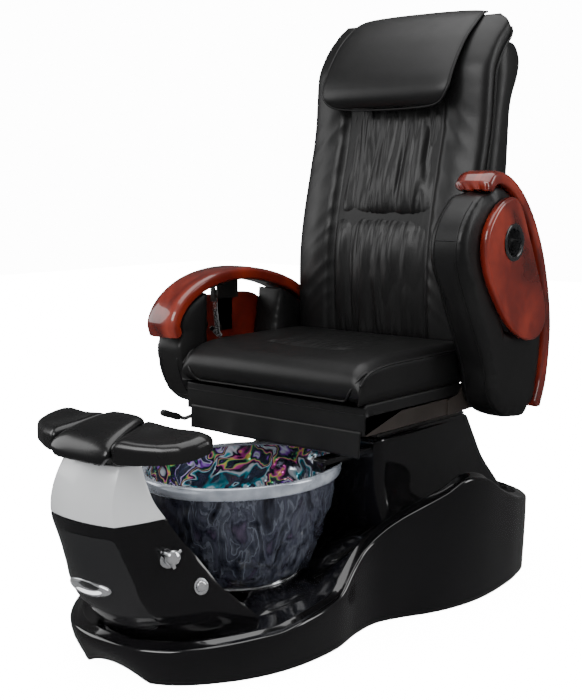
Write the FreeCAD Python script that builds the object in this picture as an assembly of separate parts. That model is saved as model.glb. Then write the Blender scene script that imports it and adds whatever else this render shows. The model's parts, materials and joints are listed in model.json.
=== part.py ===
"""Pedicure spa chair: a massage chair that slides on a plinth with a footbath bowl in front.

Units are millimetres. +Z is up, the sitter faces -Y and the sitter's left is +X.
Lengths along Y are counted from the front of the seat frame while modelling,
and save() moves every piece so that the origin is under the middle of the chair.
"""
import FreeCAD, Part
import math
import os

# ---------------------------------------------------------------- driving dimensions
MIDDLE_Y = 96.0            # middle of the chair's length, from the seat frame's front

SEAT_HALF = 280.0          # half width of the seat frame
SEAT_DEPTH = 375.0
FRAME_Z = 473.0            # underside of the seat frame
FRAME_HIGH = 40.0
BOX_HIGH = 32.0
CUSHION_HIGH = 100.0
GAP = 0.5                  # running gap of the slides

BACK_HALF = 274.0
PILLOW_HALF = 200.0
CUSHION_THICK = 52.0
RECLINE_Y, RECLINE_Z = 452.0, 503.0
LEVER_ARM = 45.0           # recline pivot to the actuator's pin

ARM_IN, ARM_OUT = 287.0, 375.0
CAP_OUT = 384.0
CAP_THICK = 35.0
ARM_Y, ARM_Z = 470.0, 530.0
ARM_RAISE = 62.0           # the sitter's left arm is stored raised
TRAY_IN, TRAY_THICK = 378.0, 24.0
TRAY_HINGE = (380.0, 746.0)
CUP_Y, CUP_Z = 126.0, 663.0

BOWL_Y = -107.5
BOWL_FOOT_Z, BOWL_TOP_Z = 126.0, 383.0
BOWL_STRETCH = 1.219       # length over width of the oval bowl
BOWL_WALL = 6.0
RIM_R = 208.0

WALL = 4.0                 # moulded shells
PLINTH_BOTTOM = 5.0
PLINTH_RING = 28.0         # width of the plinth's ledge
TOWER_SPLIT_Z = 360.0      # silver band above, black shell below
TOWER_TOP_Z = 478.0
COLUMN_TOP_Z = 430.0
PLATE = 6.0

X = FreeCAD.Vector(1, 0, 0)
Y = FreeCAD.Vector(0, 1, 0)
Z = FreeCAD.Vector(0, 0, 1)


# ---------------------------------------------------------------- small helpers
def vec(x, y, z):
    return FreeCAD.Vector(x, y, z)


def box(x0, x1, y0, y1, z0, z1):
    return Part.makeBox(x1 - x0, y1 - y0, z1 - z0, vec(x0, y0, z0))


def rod(start, end, radius):
    way = end - start
    return Part.makeCylinder(radius, way.Length, start, way)


def ring(start, end, outer, inner):
    return rod(start, end, outer).cut(rod(start, end, inner))


def fuse(shapes):
    body = shapes[0].multiFuse(shapes[1:])
    return body.removeSplitter()


def both_sides(shape):
    return [shape, shape.mirror(vec(0, 0, 0), X)]


def curve(points):
    spline = Part.BSplineCurve()
    spline.interpolate(points)
    return spline


def closed_curve(points):
    spline = Part.BSplineCurve()
    spline.interpolate(points, PeriodicFlag=True)
    return spline


def path_edges(parts):
    """Edges through lists of points: two points make a line, more make a smooth curve."""
    edges = []
    for points in parts:
        if len(points) == 2:
            edges.append(Part.LineSegment(points[0], points[1]).toShape())
        else:
            edges.append(curve(points).toShape())
    return edges


def prism(edges, way):
    return Part.Face(Part.Wire(edges)).extrude(way)


def prism_x(parts, x0, x1):
    """Prism along X from lists of (y, z) points, each list one line or smooth curve."""
    lists = [[vec(x0, y, z) for y, z in points] for points in parts]
    return prism(path_edges(lists), vec(x1 - x0, 0, 0))


def prism_y(parts, y0, y1):
    lists = [[vec(x, y0, z) for x, z in points] for points in parts]
    return prism(path_edges(lists), vec(0, y1 - y0, 0))


def polygon(points):
    """The sides of a polygon as two-point lists for prism_x and prism_y."""
    return [[a, b] for a, b in zip(points, points[1:] + points[:1])]


def moved_in(points, distance):
    """(a, b) points of an open curve moved to its right-hand side by a distance."""
    spline = curve([vec(a, b, 0) for a, b in points])
    result = []
    for a, b in points:
        tangent = spline.tangent(spline.parameter(vec(a, b, 0)))[0]
        result.append((a + tangent.y * distance, b - tangent.x * distance))
    return result


def joined(curve_a, curve_b):
    """Closes two open curves into an outline with straight ends."""
    return [curve_a, [curve_a[-1], curve_b[0]], curve_b, [curve_b[-1], curve_a[0]]]


def save(name, shapes):
    moved = []
    for shape in shapes:
        for solid in shape.Solids:
            copy = solid.copy()
            copy.translate(vec(0, -MIDDLE_Y, 0))
            moved.append(copy)
    result = moved[0] if len(moved) == 1 else Part.makeCompound(moved)
    result.exportStep(f"parts/{name}.step")


# ---------------------------------------------------------------- plinth and cradle
JET_R = 46.0
JET_Z = 240.0
JET_START = vec(0, 60, JET_Z)
JET_END = vec(0, 230, JET_Z)
NOTCH_HALF = 90.0
FLATS = 36                 # points along a side curve
PLAN_RIGHT = [
    (90, -534), (155, -503), (212, -447), (262, -365), (290, -260), (288, -110), (264, 0),
    (260, 80), (281, 140), (321, 219), (348, 305), (359, 395), (354, 500), (338, 601),
    (300, 705), (205, 778),
]
LEDGE_SIDE = [(-620, 92), (-360, 98), (-230, 108), (-140, 114), (-28, 161), (77, 216),
              (200, 277), (303, 321), (335, 328), (412, 309), (496, 264), (637, 212), (850, 196)]
FLOOR_SIDE = [(-620, 88), (-400, 90), (-330, 95), (-270, 116), (-200, 126), (-100, 126),
              (20, 126), (70, 148), (110, 200), (150, 250), (210, 272), (320, 288),
              (420, 284), (520, 245), (640, 200), (850, 185)]


def plan_points():
    left = [(-x, y) for x, y in reversed(PLAN_RIGHT)]
    return [(0, -544)] + PLAN_RIGHT + [(0, 800)] + left


def plan_prism(inset, z0, z1):
    points = [vec(x, y, z0) for x, y in plan_points()]
    spline = closed_curve(points)
    if inset:
        inner = []
        for p in points:
            tangent = spline.tangent(spline.parameter(p))[0]
            inner.append(vec(p.x - tangent.y * inset, p.y + tangent.x * inset, z0))
        spline = closed_curve(inner)
    return prism([spline.toShape()], vec(0, 0, z1 - z0))


def under(side, drop, x=420):
    """Everything below a side curve, as a prism across the chair in narrow flats."""
    spline = curve([vec(0, y, z - drop) for y, z in side])
    top = [(p.y, p.z) for p in spline.discretize(Number=FLATS)]
    low = -50.0
    return prism_x(polygon(top + [(top[-1][0], low), (top[0][0], low)]), -x, x)


def make_plinth():
    solid = plan_prism(0, PLINTH_BOTTOM, 360).common(under(LEDGE_SIDE, 0))
    solid = solid.cut(plan_prism(PLINTH_RING, 0, 400))
    channel = plan_prism(WALL, 0, 380).cut(plan_prism(PLINTH_RING - WALL, 0, 400))
    solid = solid.cut(channel.common(under(LEDGE_SIDE, 5)))
    toe = prism_y([[(-104, 0), (0, 30), (104, 0)], [(104, 0), (-104, 0)]], -600, -440)
    notch = box(-NOTCH_HALF, NOTCH_HALF, 700, 830, 0, 95)
    return solid.cut(toe).cut(notch)


def make_cradle():
    band = under(FLOOR_SIDE, 0).cut(under(FLOOR_SIDE, WALL, 430))
    floor = band.common(plan_prism(PLINTH_RING, 0, 400))
    floor = floor.cut(box(-170, 170, 185, 560, 0, 400))
    floor = floor.cut(box(-115, 115, -465, -395, 0, 200))
    floor = floor.cut(rod(vec(0, BOWL_Y, 50), vec(0, BOWL_Y, 200), 32))
    floor = floor.cut(rod(JET_START, JET_END, JET_R + 1))
    floor = floor.cut(rod(vec(SPOUT_X, FEED_Y, 200), vec(SPOUT_X, FEED_Y, 400), HOSE_R + 1))
    return floor.cut(bowl_form())


# ---------------------------------------------------------------- tower in front of the bowl
# height, front middle y, then x and y of the front ridge and of the rear corner
TOWER_SECTIONS = [
    (78, -486, 150, -400, 206, -300), (110, -512, 178, -360, 212, -290),
    (165, -556, 170, -440, 192, -335), (204, -577, 150, -494, 178, -375),
    (237, -589, 130, -522, 165, -395), (277, -599, 115, -552, 149, -420),
    (315, -605, 105, -575, 138, -450), (360, -608, 99, -593, 128, -478),
    (400, -606, 95, -594, 122, -505), (440, -596, 91, -582, 110, -514), (482, -578, 86, -560, 98, -518),
]
DOOR_OUTLINE = [(-120, 132), (-92, 332), (92, 332), (120, 132)]
DOOR_ZONE = [(-700, 100), (-400, 100), (-400, 180), (-520, 340), (-700, 340)]
KNOB_POINT = (133.0, -481.0, 278.0)
BUTTON_POINT = (166.0, -419.0, 209.5)
SIDE_WAY = vec(0.92, -0.2, 0.337)      # out of the tower's side


def tower_solid(inset):
    """The tower's outer form, or the same form moved in by the wall's thickness."""
    wires = []
    for z, front, ridge_x, ridge_y, rear_x, rear_y in TOWER_SECTIONS:
        ridge = vec(ridge_x - inset, ridge_y + inset, z)
        rear = vec(rear_x - inset, rear_y - inset, z)
        other_ridge = vec(-ridge.x, ridge.y, z)
        other_rear = vec(-rear.x, rear.y, z)
        bow = Part.Arc(other_ridge, vec(0, front + inset, z), ridge).toShape()
        corners = [ridge, rear, other_rear, other_ridge]
        edges = [bow] + path_edges([[a, b] for a, b in zip(corners, corners[1:])])
        wires.append(Part.Wire(edges))
    return Part.makeLoft(wires, True, False)


def side_axis(point, start, end):
    """A start and an end on the line that leaves the tower's side at a point."""
    return vec(*point) + SIDE_WAY * start, vec(*point) + SIDE_WAY * end


def tower_shell():
    shell = tower_solid(0).cut(tower_solid(WALL).common(box(-300, 300, -700, 0, 0, TOWER_TOP_Z - WALL)))
    shell = shell.cut(rod(*side_axis(KNOB_POINT, -40, 40), 9))
    return shell.cut(rod(*side_axis(BUTTON_POINT, -40, 40), 13))


def door_prism(gap):
    outline = [(x + math.copysign(gap, x), z + (gap if z > 200 else -gap))
               for x, z in DOOR_OUTLINE]
    return prism_y(polygon(outline), -700, -380).common(prism_x(polygon(DOOR_ZONE), -200, 200))


def make_tower():
    lower = tower_shell().common(box(-300, 300, -700, 0, 0, TOWER_SPLIT_Z))
    return lower.cut(door_prism(1.5)).cut(under(FLOOR_SIDE, 0))


def make_silver_band():
    return tower_shell().common(box(-300, 300, -700, 0, TOWER_SPLIT_Z, TOWER_TOP_Z))


def make_door():
    return tower_shell().common(door_prism(0))


def make_door_pull():
    plate = Part.makeCylinder(17, 10, vec(0, -597, 215), Y)
    wide = FreeCAD.Matrix()
    wide.scale(3.8, 1, 1)
    oval = plate.transformGeometry(wide)
    oval = oval.cut(tower_solid(0))
    grip = Part.makeCylinder(9, 8, vec(0, -601, 211), Y).transformGeometry(wide)
    return oval.cut(grip)


# ---------------------------------------------------------------- bowl
BOWL_OUTER = [(118, BOWL_FOOT_Z), (143, 150), (163, 195), (182, 255), (197, 315), (RIM_R, 365)]


def oval(shape):
    """Stretches a round shape about the bowl's centre into the bowl's oval."""
    stretch = FreeCAD.Matrix()
    stretch.scale(1, BOWL_STRETCH, 1)
    result = shape.transformGeometry(stretch)
    result.translate(vec(0, BOWL_Y, 0))
    return result


def revolve(edges):
    face = Part.Face(Part.Wire(edges))
    return face.revolve(vec(0, 0, 0), Z, 360)


def bowl_form():
    """The bowl as if filled to the brim."""
    outer = [vec(r, 0, z) for r, z in BOWL_OUTER]
    foot = vec(0, 0, BOWL_FOOT_Z)
    top = vec(0, 0, BOWL_OUTER[-1][1])
    edges = path_edges([[foot, outer[0]], outer, [outer[-1], top], [top, foot]])
    return oval(revolve(edges))


def make_bowl():
    outer = [vec(r, 0, z) for r, z in BOWL_OUTER]
    inner = [vec(r - BOWL_WALL, 0, max(z, BOWL_FOOT_Z + BOWL_WALL)) for r, z in reversed(BOWL_OUTER)]
    top_out = vec(RIM_R, 0, BOWL_TOP_Z)
    top_in = vec(RIM_R - BOWL_WALL, 0, BOWL_TOP_Z)
    foot_out = vec(0, 0, BOWL_FOOT_Z)
    foot_in = vec(0, 0, BOWL_FOOT_Z + BOWL_WALL)
    edges = path_edges([[foot_out, outer[0]], outer, [outer[-1], top_out], [top_out, top_in],
                        [top_in, inner[0]], inner, [inner[-1], foot_in], [foot_in, foot_out]])
    bowl = oval(revolve(edges))
    bowl = bowl.cut(rod(vec(0, BOWL_Y, 100), vec(0, BOWL_Y, 150), 20))
    return bowl.cut(rod(vec(0, 40, JET_Z), vec(0, 200, JET_Z), 36))


def make_bowl_rim():
    outline = [(RIM_R, 362), (RIM_R + 6, 364), (RIM_R + 6, 386), (RIM_R + 3, 389),
               (RIM_R - 9, 389), (RIM_R - 9, BOWL_TOP_Z), (RIM_R, BOWL_TOP_Z)]
    edges = path_edges([[vec(a[0], 0, a[1]), vec(b[0], 0, b[1])] for a, b in polygon(outline)])
    return oval(revolve(edges))


def make_drain_fitting():
    flange = ring(vec(0, BOWL_Y, BOWL_FOOT_Z + BOWL_WALL), vec(0, BOWL_Y, 136), 30, 16)
    tail = ring(vec(0, BOWL_Y, 92), vec(0, BOWL_Y, 132), 20, 16)
    bars = [box(-16.5, 16.5, BOWL_Y + dy - 2, BOWL_Y + dy + 2, 133, 136) for dy in (-8, 0, 8)]
    return fuse([flange, tail] + bars)


def make_jet_housing():
    cup = rod(vec(0, 74, JET_Z), vec(0, 140, JET_Z), 36)
    cup = cup.cut(rod(vec(0, 78, JET_Z), vec(0, 134, JET_Z), 32))
    for turn in range(8):
        angle = math.radians(45 * turn)
        centre = vec(20 * math.cos(angle), 70, JET_Z + 20 * math.sin(angle))
        cup = cup.cut(rod(centre, centre + vec(0, 12, 0), 5))
    motor = rod(vec(0, 140, JET_Z), vec(0, 222, JET_Z), JET_R)
    return fuse([cup, motor])


def make_jet_impeller():
    hub = rod(vec(0, 92, JET_Z), vec(0, 128, JET_Z), 8)
    blades = []
    for turn in range(6):
        blade = box(-2, 2, 96, 122, JET_Z + 6, JET_Z + 26)
        blade.rotate(vec(0, 0, JET_Z), Y, 60 * turn)
        blades.append(blade)
    return fuse([hub] + blades)


# ---------------------------------------------------------------- tap, button, pipes
MANIFOLD_Z = 228.0


def make_mixing_valve():
    start, end = side_axis(KNOB_POINT, -62, -WALL - 4)
    body = rod(start, end, 18)
    spindle = rod(*side_axis(KNOB_POINT, -WALL - 4, 14), 6)
    manifold = box(-76, 84, -478, -422, MANIFOLD_Z, MANIFOLD_Z + 34)
    return fuse([body, spindle, manifold])


def make_control_bezels():
    knob = ring(*side_axis(KNOB_POINT, 2, 8), 21, 10)
    button = ring(*side_axis(BUTTON_POINT, 2, 6), 19, 12.3)
    return [knob.cut(tower_solid(0)), button.cut(tower_solid(0))]


def make_valve_knob():
    start, end = side_axis(KNOB_POINT, 9, 33)
    cap = rod(start, end, 15).cut(rod(*side_axis(KNOB_POINT, 0, 14.5), 6.05))
    prongs = []
    for turn in range(3):
        arm = Part.makeCylinder(3.5, 24, vec(*KNOB_POINT), Z.cross(SIDE_WAY))
        arm.rotate(vec(*KNOB_POINT), SIDE_WAY, 120 * turn + 25)
        arm.translate(SIDE_WAY * 24)
        prongs.append(arm)
    return fuse([cap] + prongs)


def make_push_button():
    return rod(*side_axis(BUTTON_POINT, -14, 9), 12)


def bent_pipe(points, radius):
    """A pipe of straight runs and tangent arcs through a list of points."""
    runs = [b - a for a, b in zip(points, points[1:])]
    edges = []
    last = points[0]
    for i in range(1, len(points) - 1):
        before, after = runs[i - 1], runs[i]
        turn = before.getAngle(after)
        reach = 0.45 * min(before.Length, after.Length)
        bend = min(reach / math.tan(turn / 2), 4.0 * radius)
        reach = bend * math.tan(turn / 2)
        enter = points[i] - before.normalize() * reach
        leave = points[i] + after.normalize() * reach
        middle_way = (enter + leave) * 0.5 - points[i]
        to_centre = math.sqrt(bend ** 2 + reach ** 2)
        middle = points[i] + middle_way.normalize() * (to_centre - bend)
        edges.append(Part.LineSegment(last, enter).toShape())
        edges.append(Part.Arc(enter, middle, leave).toShape())
        last = leave
    edges.append(Part.LineSegment(last, points[-1]).toShape())
    path = Part.Wire(edges)
    circle = Part.Circle(points[0], points[1] - points[0], radius).toShape()
    return path.makePipeShell([Part.Wire([circle])], True, False)


PIPE_Z = 66.0
PIPE_REAR_Y = 782.0
HOSE_X = 62.0
HOSE_R = 9.5
DRAIN_R = 18.0
INLET_R = 10.5             # half-inch connections
OUTLET_R = 20.0
STUB = 26.0
FEED_Y = 252.0
FEED_X = 95.0
DRAIN_Z = 65.0


def make_pipework():
    end = PIPE_REAR_Y - STUB
    drain = bent_pipe([vec(0, BOWL_Y, 92), vec(0, BOWL_Y, DRAIN_Z), vec(0, end, DRAIN_Z)], DRAIN_R)
    outlet = rod(vec(0, end, DRAIN_Z), vec(0, PIPE_REAR_Y, DRAIN_Z), OUTLET_R)
    pipes = [fuse([drain, outlet])]
    for x in (-HOSE_X, HOSE_X):
        hose = bent_pipe([vec(x, end, PIPE_Z), vec(x, -436, PIPE_Z), vec(x, -436, MANIFOLD_Z)], HOSE_R)
        inlet = rod(vec(x, end, PIPE_Z), vec(x, PIPE_REAR_Y, PIPE_Z), INLET_R)
        pipes.append(fuse([hose, inlet]))
    feed = bent_pipe([vec(28, -436, MANIFOLD_Z), vec(28, -436, PIPE_Z), vec(FEED_X, -400, PIPE_Z),
                      vec(FEED_X, FEED_Y, PIPE_Z), vec(SPOUT_X, FEED_Y, PIPE_Z),
                      vec(SPOUT_X, FEED_Y, 393)], HOSE_R)
    pipes.append(feed)
    return pipes


SPOUT_X = 165.0


def make_fill_spout():
    body = box(SPOUT_X - 18, SPOUT_X + 18, -24, 160, 392, 410)
    lip = box(SPOUT_X - 18, SPOUT_X + 18, -28, -16, 376, 410)
    tail = rod(vec(SPOUT_X, 158, 401), vec(SPOUT_X, FEED_Y + 10, 401), 8)
    return fuse([body, lip, tail])


# ---------------------------------------------------------------- column, frame, feet
COLUMN_FRONT, COLUMN_REAR = 160.0, 575.0


def column_solid(inset):
    low = inset
    half = [(236 - inset, 200), (205 - inset, 300), (198 - inset, COLUMN_TOP_Z + 5)]
    mirrored = [(-x, z) for x, z in reversed(half)]
    front_view = prism_y(joined(half, mirrored), 100, 800)
    side = polygon([(COLUMN_FRONT + low, 100), (COLUMN_FRONT + low, COLUMN_TOP_Z - low),
                    (COLUMN_REAR - low, COLUMN_TOP_Z - low), (700 - low, 215), (700 - low, 100)])
    return front_view.common(prism_x(side, -300, 300))


def make_column():
    shell = column_solid(0).cut(column_solid(WALL))
    shell = shell.cut(under(FLOOR_SIDE, 0))
    shell = shell.cut(rod(JET_START, JET_END, JET_R + 1))
    for x in (-POST_X, POST_X):
        for y in POST_Y:
            shell = shell.cut(box(x - 15, x + 15, y - 15, y + 15, 420, 440))
    return shell.cut(rod(vec(SPOUT_X, 150, 401), vec(SPOUT_X, 170, 401), 8))


POST_X = 140.0
POST_Y = (215.0, 530.0)
FEET = [(-200, -330), (200, -330), (-200, 60), (200, 60), (-270, 450), (270, 450)]


def make_base_frame():
    z0, z1 = 16.0, 44.0
    members = [box(x - 14, x + 14, -350, 620, z0, z1) for x in (-200, 200)]
    members += [box(-214, 214, y - 14, y + 14, z0, z1) for y in (-330, 60)]
    members += [box(-285, 285, y - 14, y + 14, z0, z1) for y in (450, 600)]
    for x in (-POST_X, POST_X):
        members += [box(x - 15, x + 15, y - 15, y + 15, 30, COLUMN_TOP_Z) for y in POST_Y]
        members.append(box(x - 14, x + 14, 60, 600, z0, z1))
    members.append(box(-185, 185, 175, 565, COLUMN_TOP_Z, COLUMN_TOP_Z + PLATE))
    frame = fuse(members)
    for x, y in FEET:
        frame = frame.cut(rod(vec(x, y, 0), vec(x, y, 60), 5))
    return frame


def make_feet():
    feet = []
    for x, y in FEET:
        pad = Part.makeCone(24, 18, 12, vec(x, y, 0), Z)
        stud = rod(vec(x, y, 12), vec(x, y, 50), 5)
        feet.append(fuse([pad, stud]))
    return feet


def make_control_box():
    case = box(-85, 85, 330, 500, 300, 400)
    inlet = rod(vec(0, 500, 340), vec(0, 512, 340), 14)
    return fuse([case, inlet])


# ---------------------------------------------------------------- footrest
FOOT_SLOPE = 0.16


def foot_z(y):
    """Underside of the foot pads."""
    return 500.0 + (y + 590.0) * FOOT_SLOPE


def make_carrier():
    ends = (-586.0, -446.0)
    plate = prism_x(polygon([(y, foot_z(y)) for y in ends] + [(y, foot_z(y) - 4) for y in ends[::-1]]),
                    -190, 190)
    pieces = [plate]
    for x in (-45, 45):
        top = [(y, foot_z(y) - 2) for y in (-565.0, -470.0)]
        runner = prism_x(polygon(top + [(-470, 479), (-565, 479)]), x - 16, x + 16)
        pieces.append(runner.cut(box(x - 10 - GAP, x + 10 + GAP, -700, -400, 470, RAIL_TOP + GAP)))
    return fuse(pieces)


RAIL_TOP = 490.0


def make_slide_rails():
    rails = [box(x - 10, x + 10, -560, -485, TOWER_TOP_Z, RAIL_TOP) for x in (-45, 45)]
    rails += [box(x - 20, x + 20, 180, 560, COLUMN_TOP_Z + PLATE, 452) for x in (-150, 150)]
    return rails


LOBE_PLAN = [[(55, -462), (150, -448), (218, -434)], [(218, -434), (236, -450), (237, -490), (222, -528)],
             [(222, -528), (160, -572), (86, -593)], [(86, -593), (55, -462)]]


def make_side_pad():
    lists = [[vec(x, y, 480) for x, y in points] for points in LOBE_PLAN]
    plan = prism(path_edges(lists), vec(0, 0, 120))
    top = [(-600, 524), (-560, 540), (-500, 552), (-425, 563)]
    side = prism_x([top, [top[-1], (-425, foot_z(-425))],
                    [(-425, foot_z(-425)), (-600, foot_z(-600))], [(-600, foot_z(-600)), top[0]]], 40, 260)
    return plan.common(side)


def make_centre_pad():
    outline = [[(-420 - 38, 564), (-500, 556), (-560, 542), (-600, 518)],
               [(-600, 518), (-608, 482)], [(-608, 482), (-592, 482)],
               [(-592, 482), (-588, foot_z(-588))],
               [(-588, foot_z(-588)), (-458, foot_z(-458))], [(-458, foot_z(-458)), (-458, 564)]]
    side = prism_x(outline, -120, 120)
    plan = [vec(-50, -450, 470), vec(50, -450, 470), vec(91, -620, 470), vec(-91, -620, 470)]
    trim = prism(path_edges([[a, b] for a, b in zip(plan, plan[1:] + plan[:1])]), vec(0, 0, 120))
    return side.common(trim)


# ---------------------------------------------------------------- seat
LEVER_X = -300.0
LEVER_Y, LEVER_Z = 60.0, 447.0


def make_seat_slides():
    slides = []
    for x in (-150, 150):
        outer = box(x - 26, x + 26, 60, 400, 440, FRAME_Z)
        slides.append(outer.cut(box(x - 20 - GAP, x + 20 + GAP, 0, 600, 430, 452 + GAP)))
    return slides


def make_seat_frame():
    top = FRAME_Z + FRAME_HIGH
    members = [box(x0, x0 + 25, 0, SEAT_DEPTH, FRAME_Z, top) for x0 in (-SEAT_HALF, SEAT_HALF - 25)]
    members += [box(-SEAT_HALF, SEAT_HALF, y, y + 25, FRAME_Z, top) for y in (0, SEAT_DEPTH - 25)]
    members.append(box(-SEAT_HALF, SEAT_HALF, 60, 80, FRAME_Z, top))
    frame = fuse(members)
    hollows = [box(x0 + 2, x0 + 23, 27, SEAT_DEPTH - 27, FRAME_Z + 2, top - 2)
               for x0 in (-SEAT_HALF, SEAT_HALF - 25)]
    for hollow in hollows:
        frame = frame.cut(hollow)
    lug = box(-262, -254, LEVER_Y - 12, LEVER_Y + 12, LEVER_Z - 12, FRAME_Z)
    lug = lug.cut(rod(vec(-270, LEVER_Y, LEVER_Z), vec(-250, LEVER_Y, LEVER_Z), 5.06))
    ears = [box(x0, x0 + 5, 80, ACT_Y + 10, ACT_Z - 11, ACT_Z + 11) for x0 in (-20, 15)]
    frame = fuse([frame, lug] + ears)
    opening = box(-30, 30, SEAT_DEPTH - 30, SEAT_DEPTH + 5, FRAME_Z - 5, 500)
    frame = frame.cut(opening)
    return frame.cut(rod(vec(-30, ACT_Y, ACT_Z), vec(30, ACT_Y, ACT_Z), 5.05))


def make_seat_box():
    top = FRAME_Z + FRAME_HIGH + BOX_HIGH
    board = box(-SEAT_HALF, SEAT_HALF, 0, 402, FRAME_Z + FRAME_HIGH, top)
    apron = box(-SEAT_HALF, SEAT_HALF, -7, 0, FRAME_Z, top)
    return fuse([board, apron])


def make_front_flap():
    return prism_x(polygon([(-7, FRAME_Z), (-2, FRAME_Z), (-6, 424), (-11, 424)]), -264, 272)


def make_seat_cushion():
    z0 = FRAME_Z + FRAME_HIGH + BOX_HIGH
    front = [(6, z0), (-22, z0 + 22), (-26, z0 + 45), (-8, z0 + 78), (40, z0 + 96), (120, z0 + CUSHION_HIGH)]
    outline = [front, [front[-1], (408, z0 + CUSHION_HIGH)],
               [(408, z0 + CUSHION_HIGH), (404, z0)], [(404, z0), front[0]]]
    return prism_x(outline, -SEAT_HALF + 2, SEAT_HALF - 2)


def make_recline_brackets():
    outline = polygon([(330, FRAME_Z), (500, FRAME_Z + 5), (512, 520), (495, 568), (440, 572),
                       (380, 520), (330, 512)])
    plate = prism_x(outline, SEAT_HALF, SEAT_HALF + 5)
    arm_shaft = rod(vec(SEAT_HALF, ARM_Y, ARM_Z), vec(ARM_IN + 50, ARM_Y, ARM_Z), 10)
    recline_pin = rod(vec(SEAT_HALF - 34, RECLINE_Y, RECLINE_Z), vec(SEAT_HALF + 5, RECLINE_Y, RECLINE_Z), 7)
    return both_sides(fuse([plate, arm_shaft, recline_pin]))


def make_lever_rod():
    across = rod(vec(-246, LEVER_Y, LEVER_Z), vec(LEVER_X, LEVER_Y, LEVER_Z), 5)
    ball = Part.makeSphere(5, vec(LEVER_X, LEVER_Y, LEVER_Z))
    forward = rod(vec(LEVER_X, LEVER_Y, LEVER_Z), vec(LEVER_X, 4, 440), 5)
    knee = Part.makeSphere(5, vec(LEVER_X, 4, 440))
    up = rod(vec(LEVER_X, 4, 440), vec(LEVER_X, -14, 446), 5)
    return fuse([across, ball, forward, knee, up])


def make_lever_grip():
    start, end = vec(LEVER_X, -14, 446), vec(LEVER_X, -72, 466)
    grip = rod(start, end, 9)
    return fuse([grip, Part.makeSphere(9, end)])


# ---------------------------------------------------------------- back
BACK_FRONT = [(424, 575), (416, 640), (411, 740), (412, 842), (419, 902), (430, 962), (444, 1022),
              (459, 1084), (473, 1143), (482, 1200), (487, 1269), (495, 1331), (521, 1380), (551, 1417),
              (584, 1446), (606, 1464)]
BACK_REAR_TOP = [(616, 1404), (640, 1440)]
COVER_REAR = [(632, 1397), (690, 1391), (716, 1360), (706, 1322), (674, 1272), (663, 1235), (661, 1170),
              (660, 1080), (650, 980), (626, 870), (592, 760), (560, 660), (536, 568)]
CORNER = 30.0              # rounding of the pad's top corners


def back_rear(gap):
    """The rear of the back pad, or a line a gap behind it."""
    slope = moved_in([p for p in BACK_FRONT if p[1] < 1400], CUSHION_THICK + gap)
    return slope + [(y + gap, z) for y, z in BACK_REAR_TOP]


def make_back_cushion():
    slab = prism_x(joined(BACK_FRONT, back_rear(0)[::-1]), -BACK_HALF, BACK_HALF)
    half = BACK_HALF + 1
    top = 1472.0
    outline = [[(-half, 560), (-half, top - CORNER)],
               [(-half, top - CORNER), (-half + CORNER * 0.29, top - CORNER * 0.29), (-half + CORNER, top)],
               [(-half + CORNER, top), (half - CORNER, top)],
               [(half - CORNER, top), (half - CORNER * 0.29, top - CORNER * 0.29), (half, top - CORNER)],
               [(half, top - CORNER), (half, 560)], [(half, 560), (-half, 560)]]
    return slab.common(prism_y(outline, 350, 800))


def cover_front():
    return [p for p in back_rear(0.05) if p[1] < 1385]


def make_back_cover():
    front = cover_front()
    outline = [front, [front[-1], COVER_REAR[0]], COVER_REAR, [COVER_REAR[-1], front[0]]]
    half = BACK_HALF - 4
    solid = prism_x(outline, -half, half)
    inner_rear = moved_in(COVER_REAR, 6.0)
    inner_front = [(y - 20, z) for y, z in front]
    inner_front[0] = (inner_front[0][0], inner_rear[-1][1] + 6)
    inner_rear[-1] = (inner_rear[-1][0], inner_rear[-1][1] + 6)
    hollow = prism_x([inner_front, [inner_front[-1], inner_rear[0]], inner_rear,
                      [inner_rear[-1], inner_front[0]]], -half + 6, half - 6)
    gate = box(-262, 262, 440, 530, 540, 590)
    return solid.cut(hollow).cut(gate).cut(make_back_cushion())


MASSAGE_LOW = vec(0, 522, 640)
MASSAGE_HIGH = vec(0, 597, 1200)
MASSAGE_MID = (MASSAGE_LOW + MASSAGE_HIGH) * 0.5


def massage_line():
    return (MASSAGE_HIGH - MASSAGE_LOW).normalize()


def along_rails(x0, x1, depth0, depth1, low, high):
    """A bar that follows the massage rails, at depths behind their middle line."""
    way = massage_line()
    back = vec(0, way.z, -way.y)
    corners = [MASSAGE_MID + way * h + back * d
               for h, d in ((low, depth0), (high, depth0), (high, depth1), (low, depth1))]
    outline = polygon([(p.y, p.z) for p in corners])
    return prism_x(outline, x0, x1)


def make_back_frame():
    pieces = []
    for side in (-1, 1):
        x0, x1 = sorted((side * 238, side * 252))
        pieces.append(along_rails(x0, x1, -10, 8, -300, 292))
        ear = prism_x(polygon([(RECLINE_Y - 13, RECLINE_Z - 13), (RECLINE_Y + 13, RECLINE_Z - 13),
                               (535, 620), (535, 655), (508, 655), (502, 572),
                               (RECLINE_Y - 13, RECLINE_Z + 10)]), x0, x1)
        pieces.append(ear)
        x2, x3 = sorted((side * 84, side * 96))
        pieces.append(along_rails(x2, x3, -6, 12, -300, 292))
    for height in (-290, 278):
        pieces.append(along_rails(-252, 252, -4, 8, height, height + 14))
    lug = prism_x(polygon([(RECLINE_Y - 12, RECLINE_Z - LEVER_ARM - 12),
                           (RECLINE_Y + 12, RECLINE_Z - LEVER_ARM - 12), (RECLINE_Y + 14, 500),
                           (528, 620), (528, 640), (508, 640), (502, 572), (RECLINE_Y - 12, 500)]), -4, 4)
    pin = rod(vec(-15, RECLINE_Y, RECLINE_Z - LEVER_ARM), vec(15, RECLINE_Y, RECLINE_Z - LEVER_ARM), 6)
    frame = fuse(pieces + [lug, pin])
    return frame.cut(rod(vec(-300, RECLINE_Y, RECLINE_Z), vec(300, RECLINE_Y, RECLINE_Z), 7.05))


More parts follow.
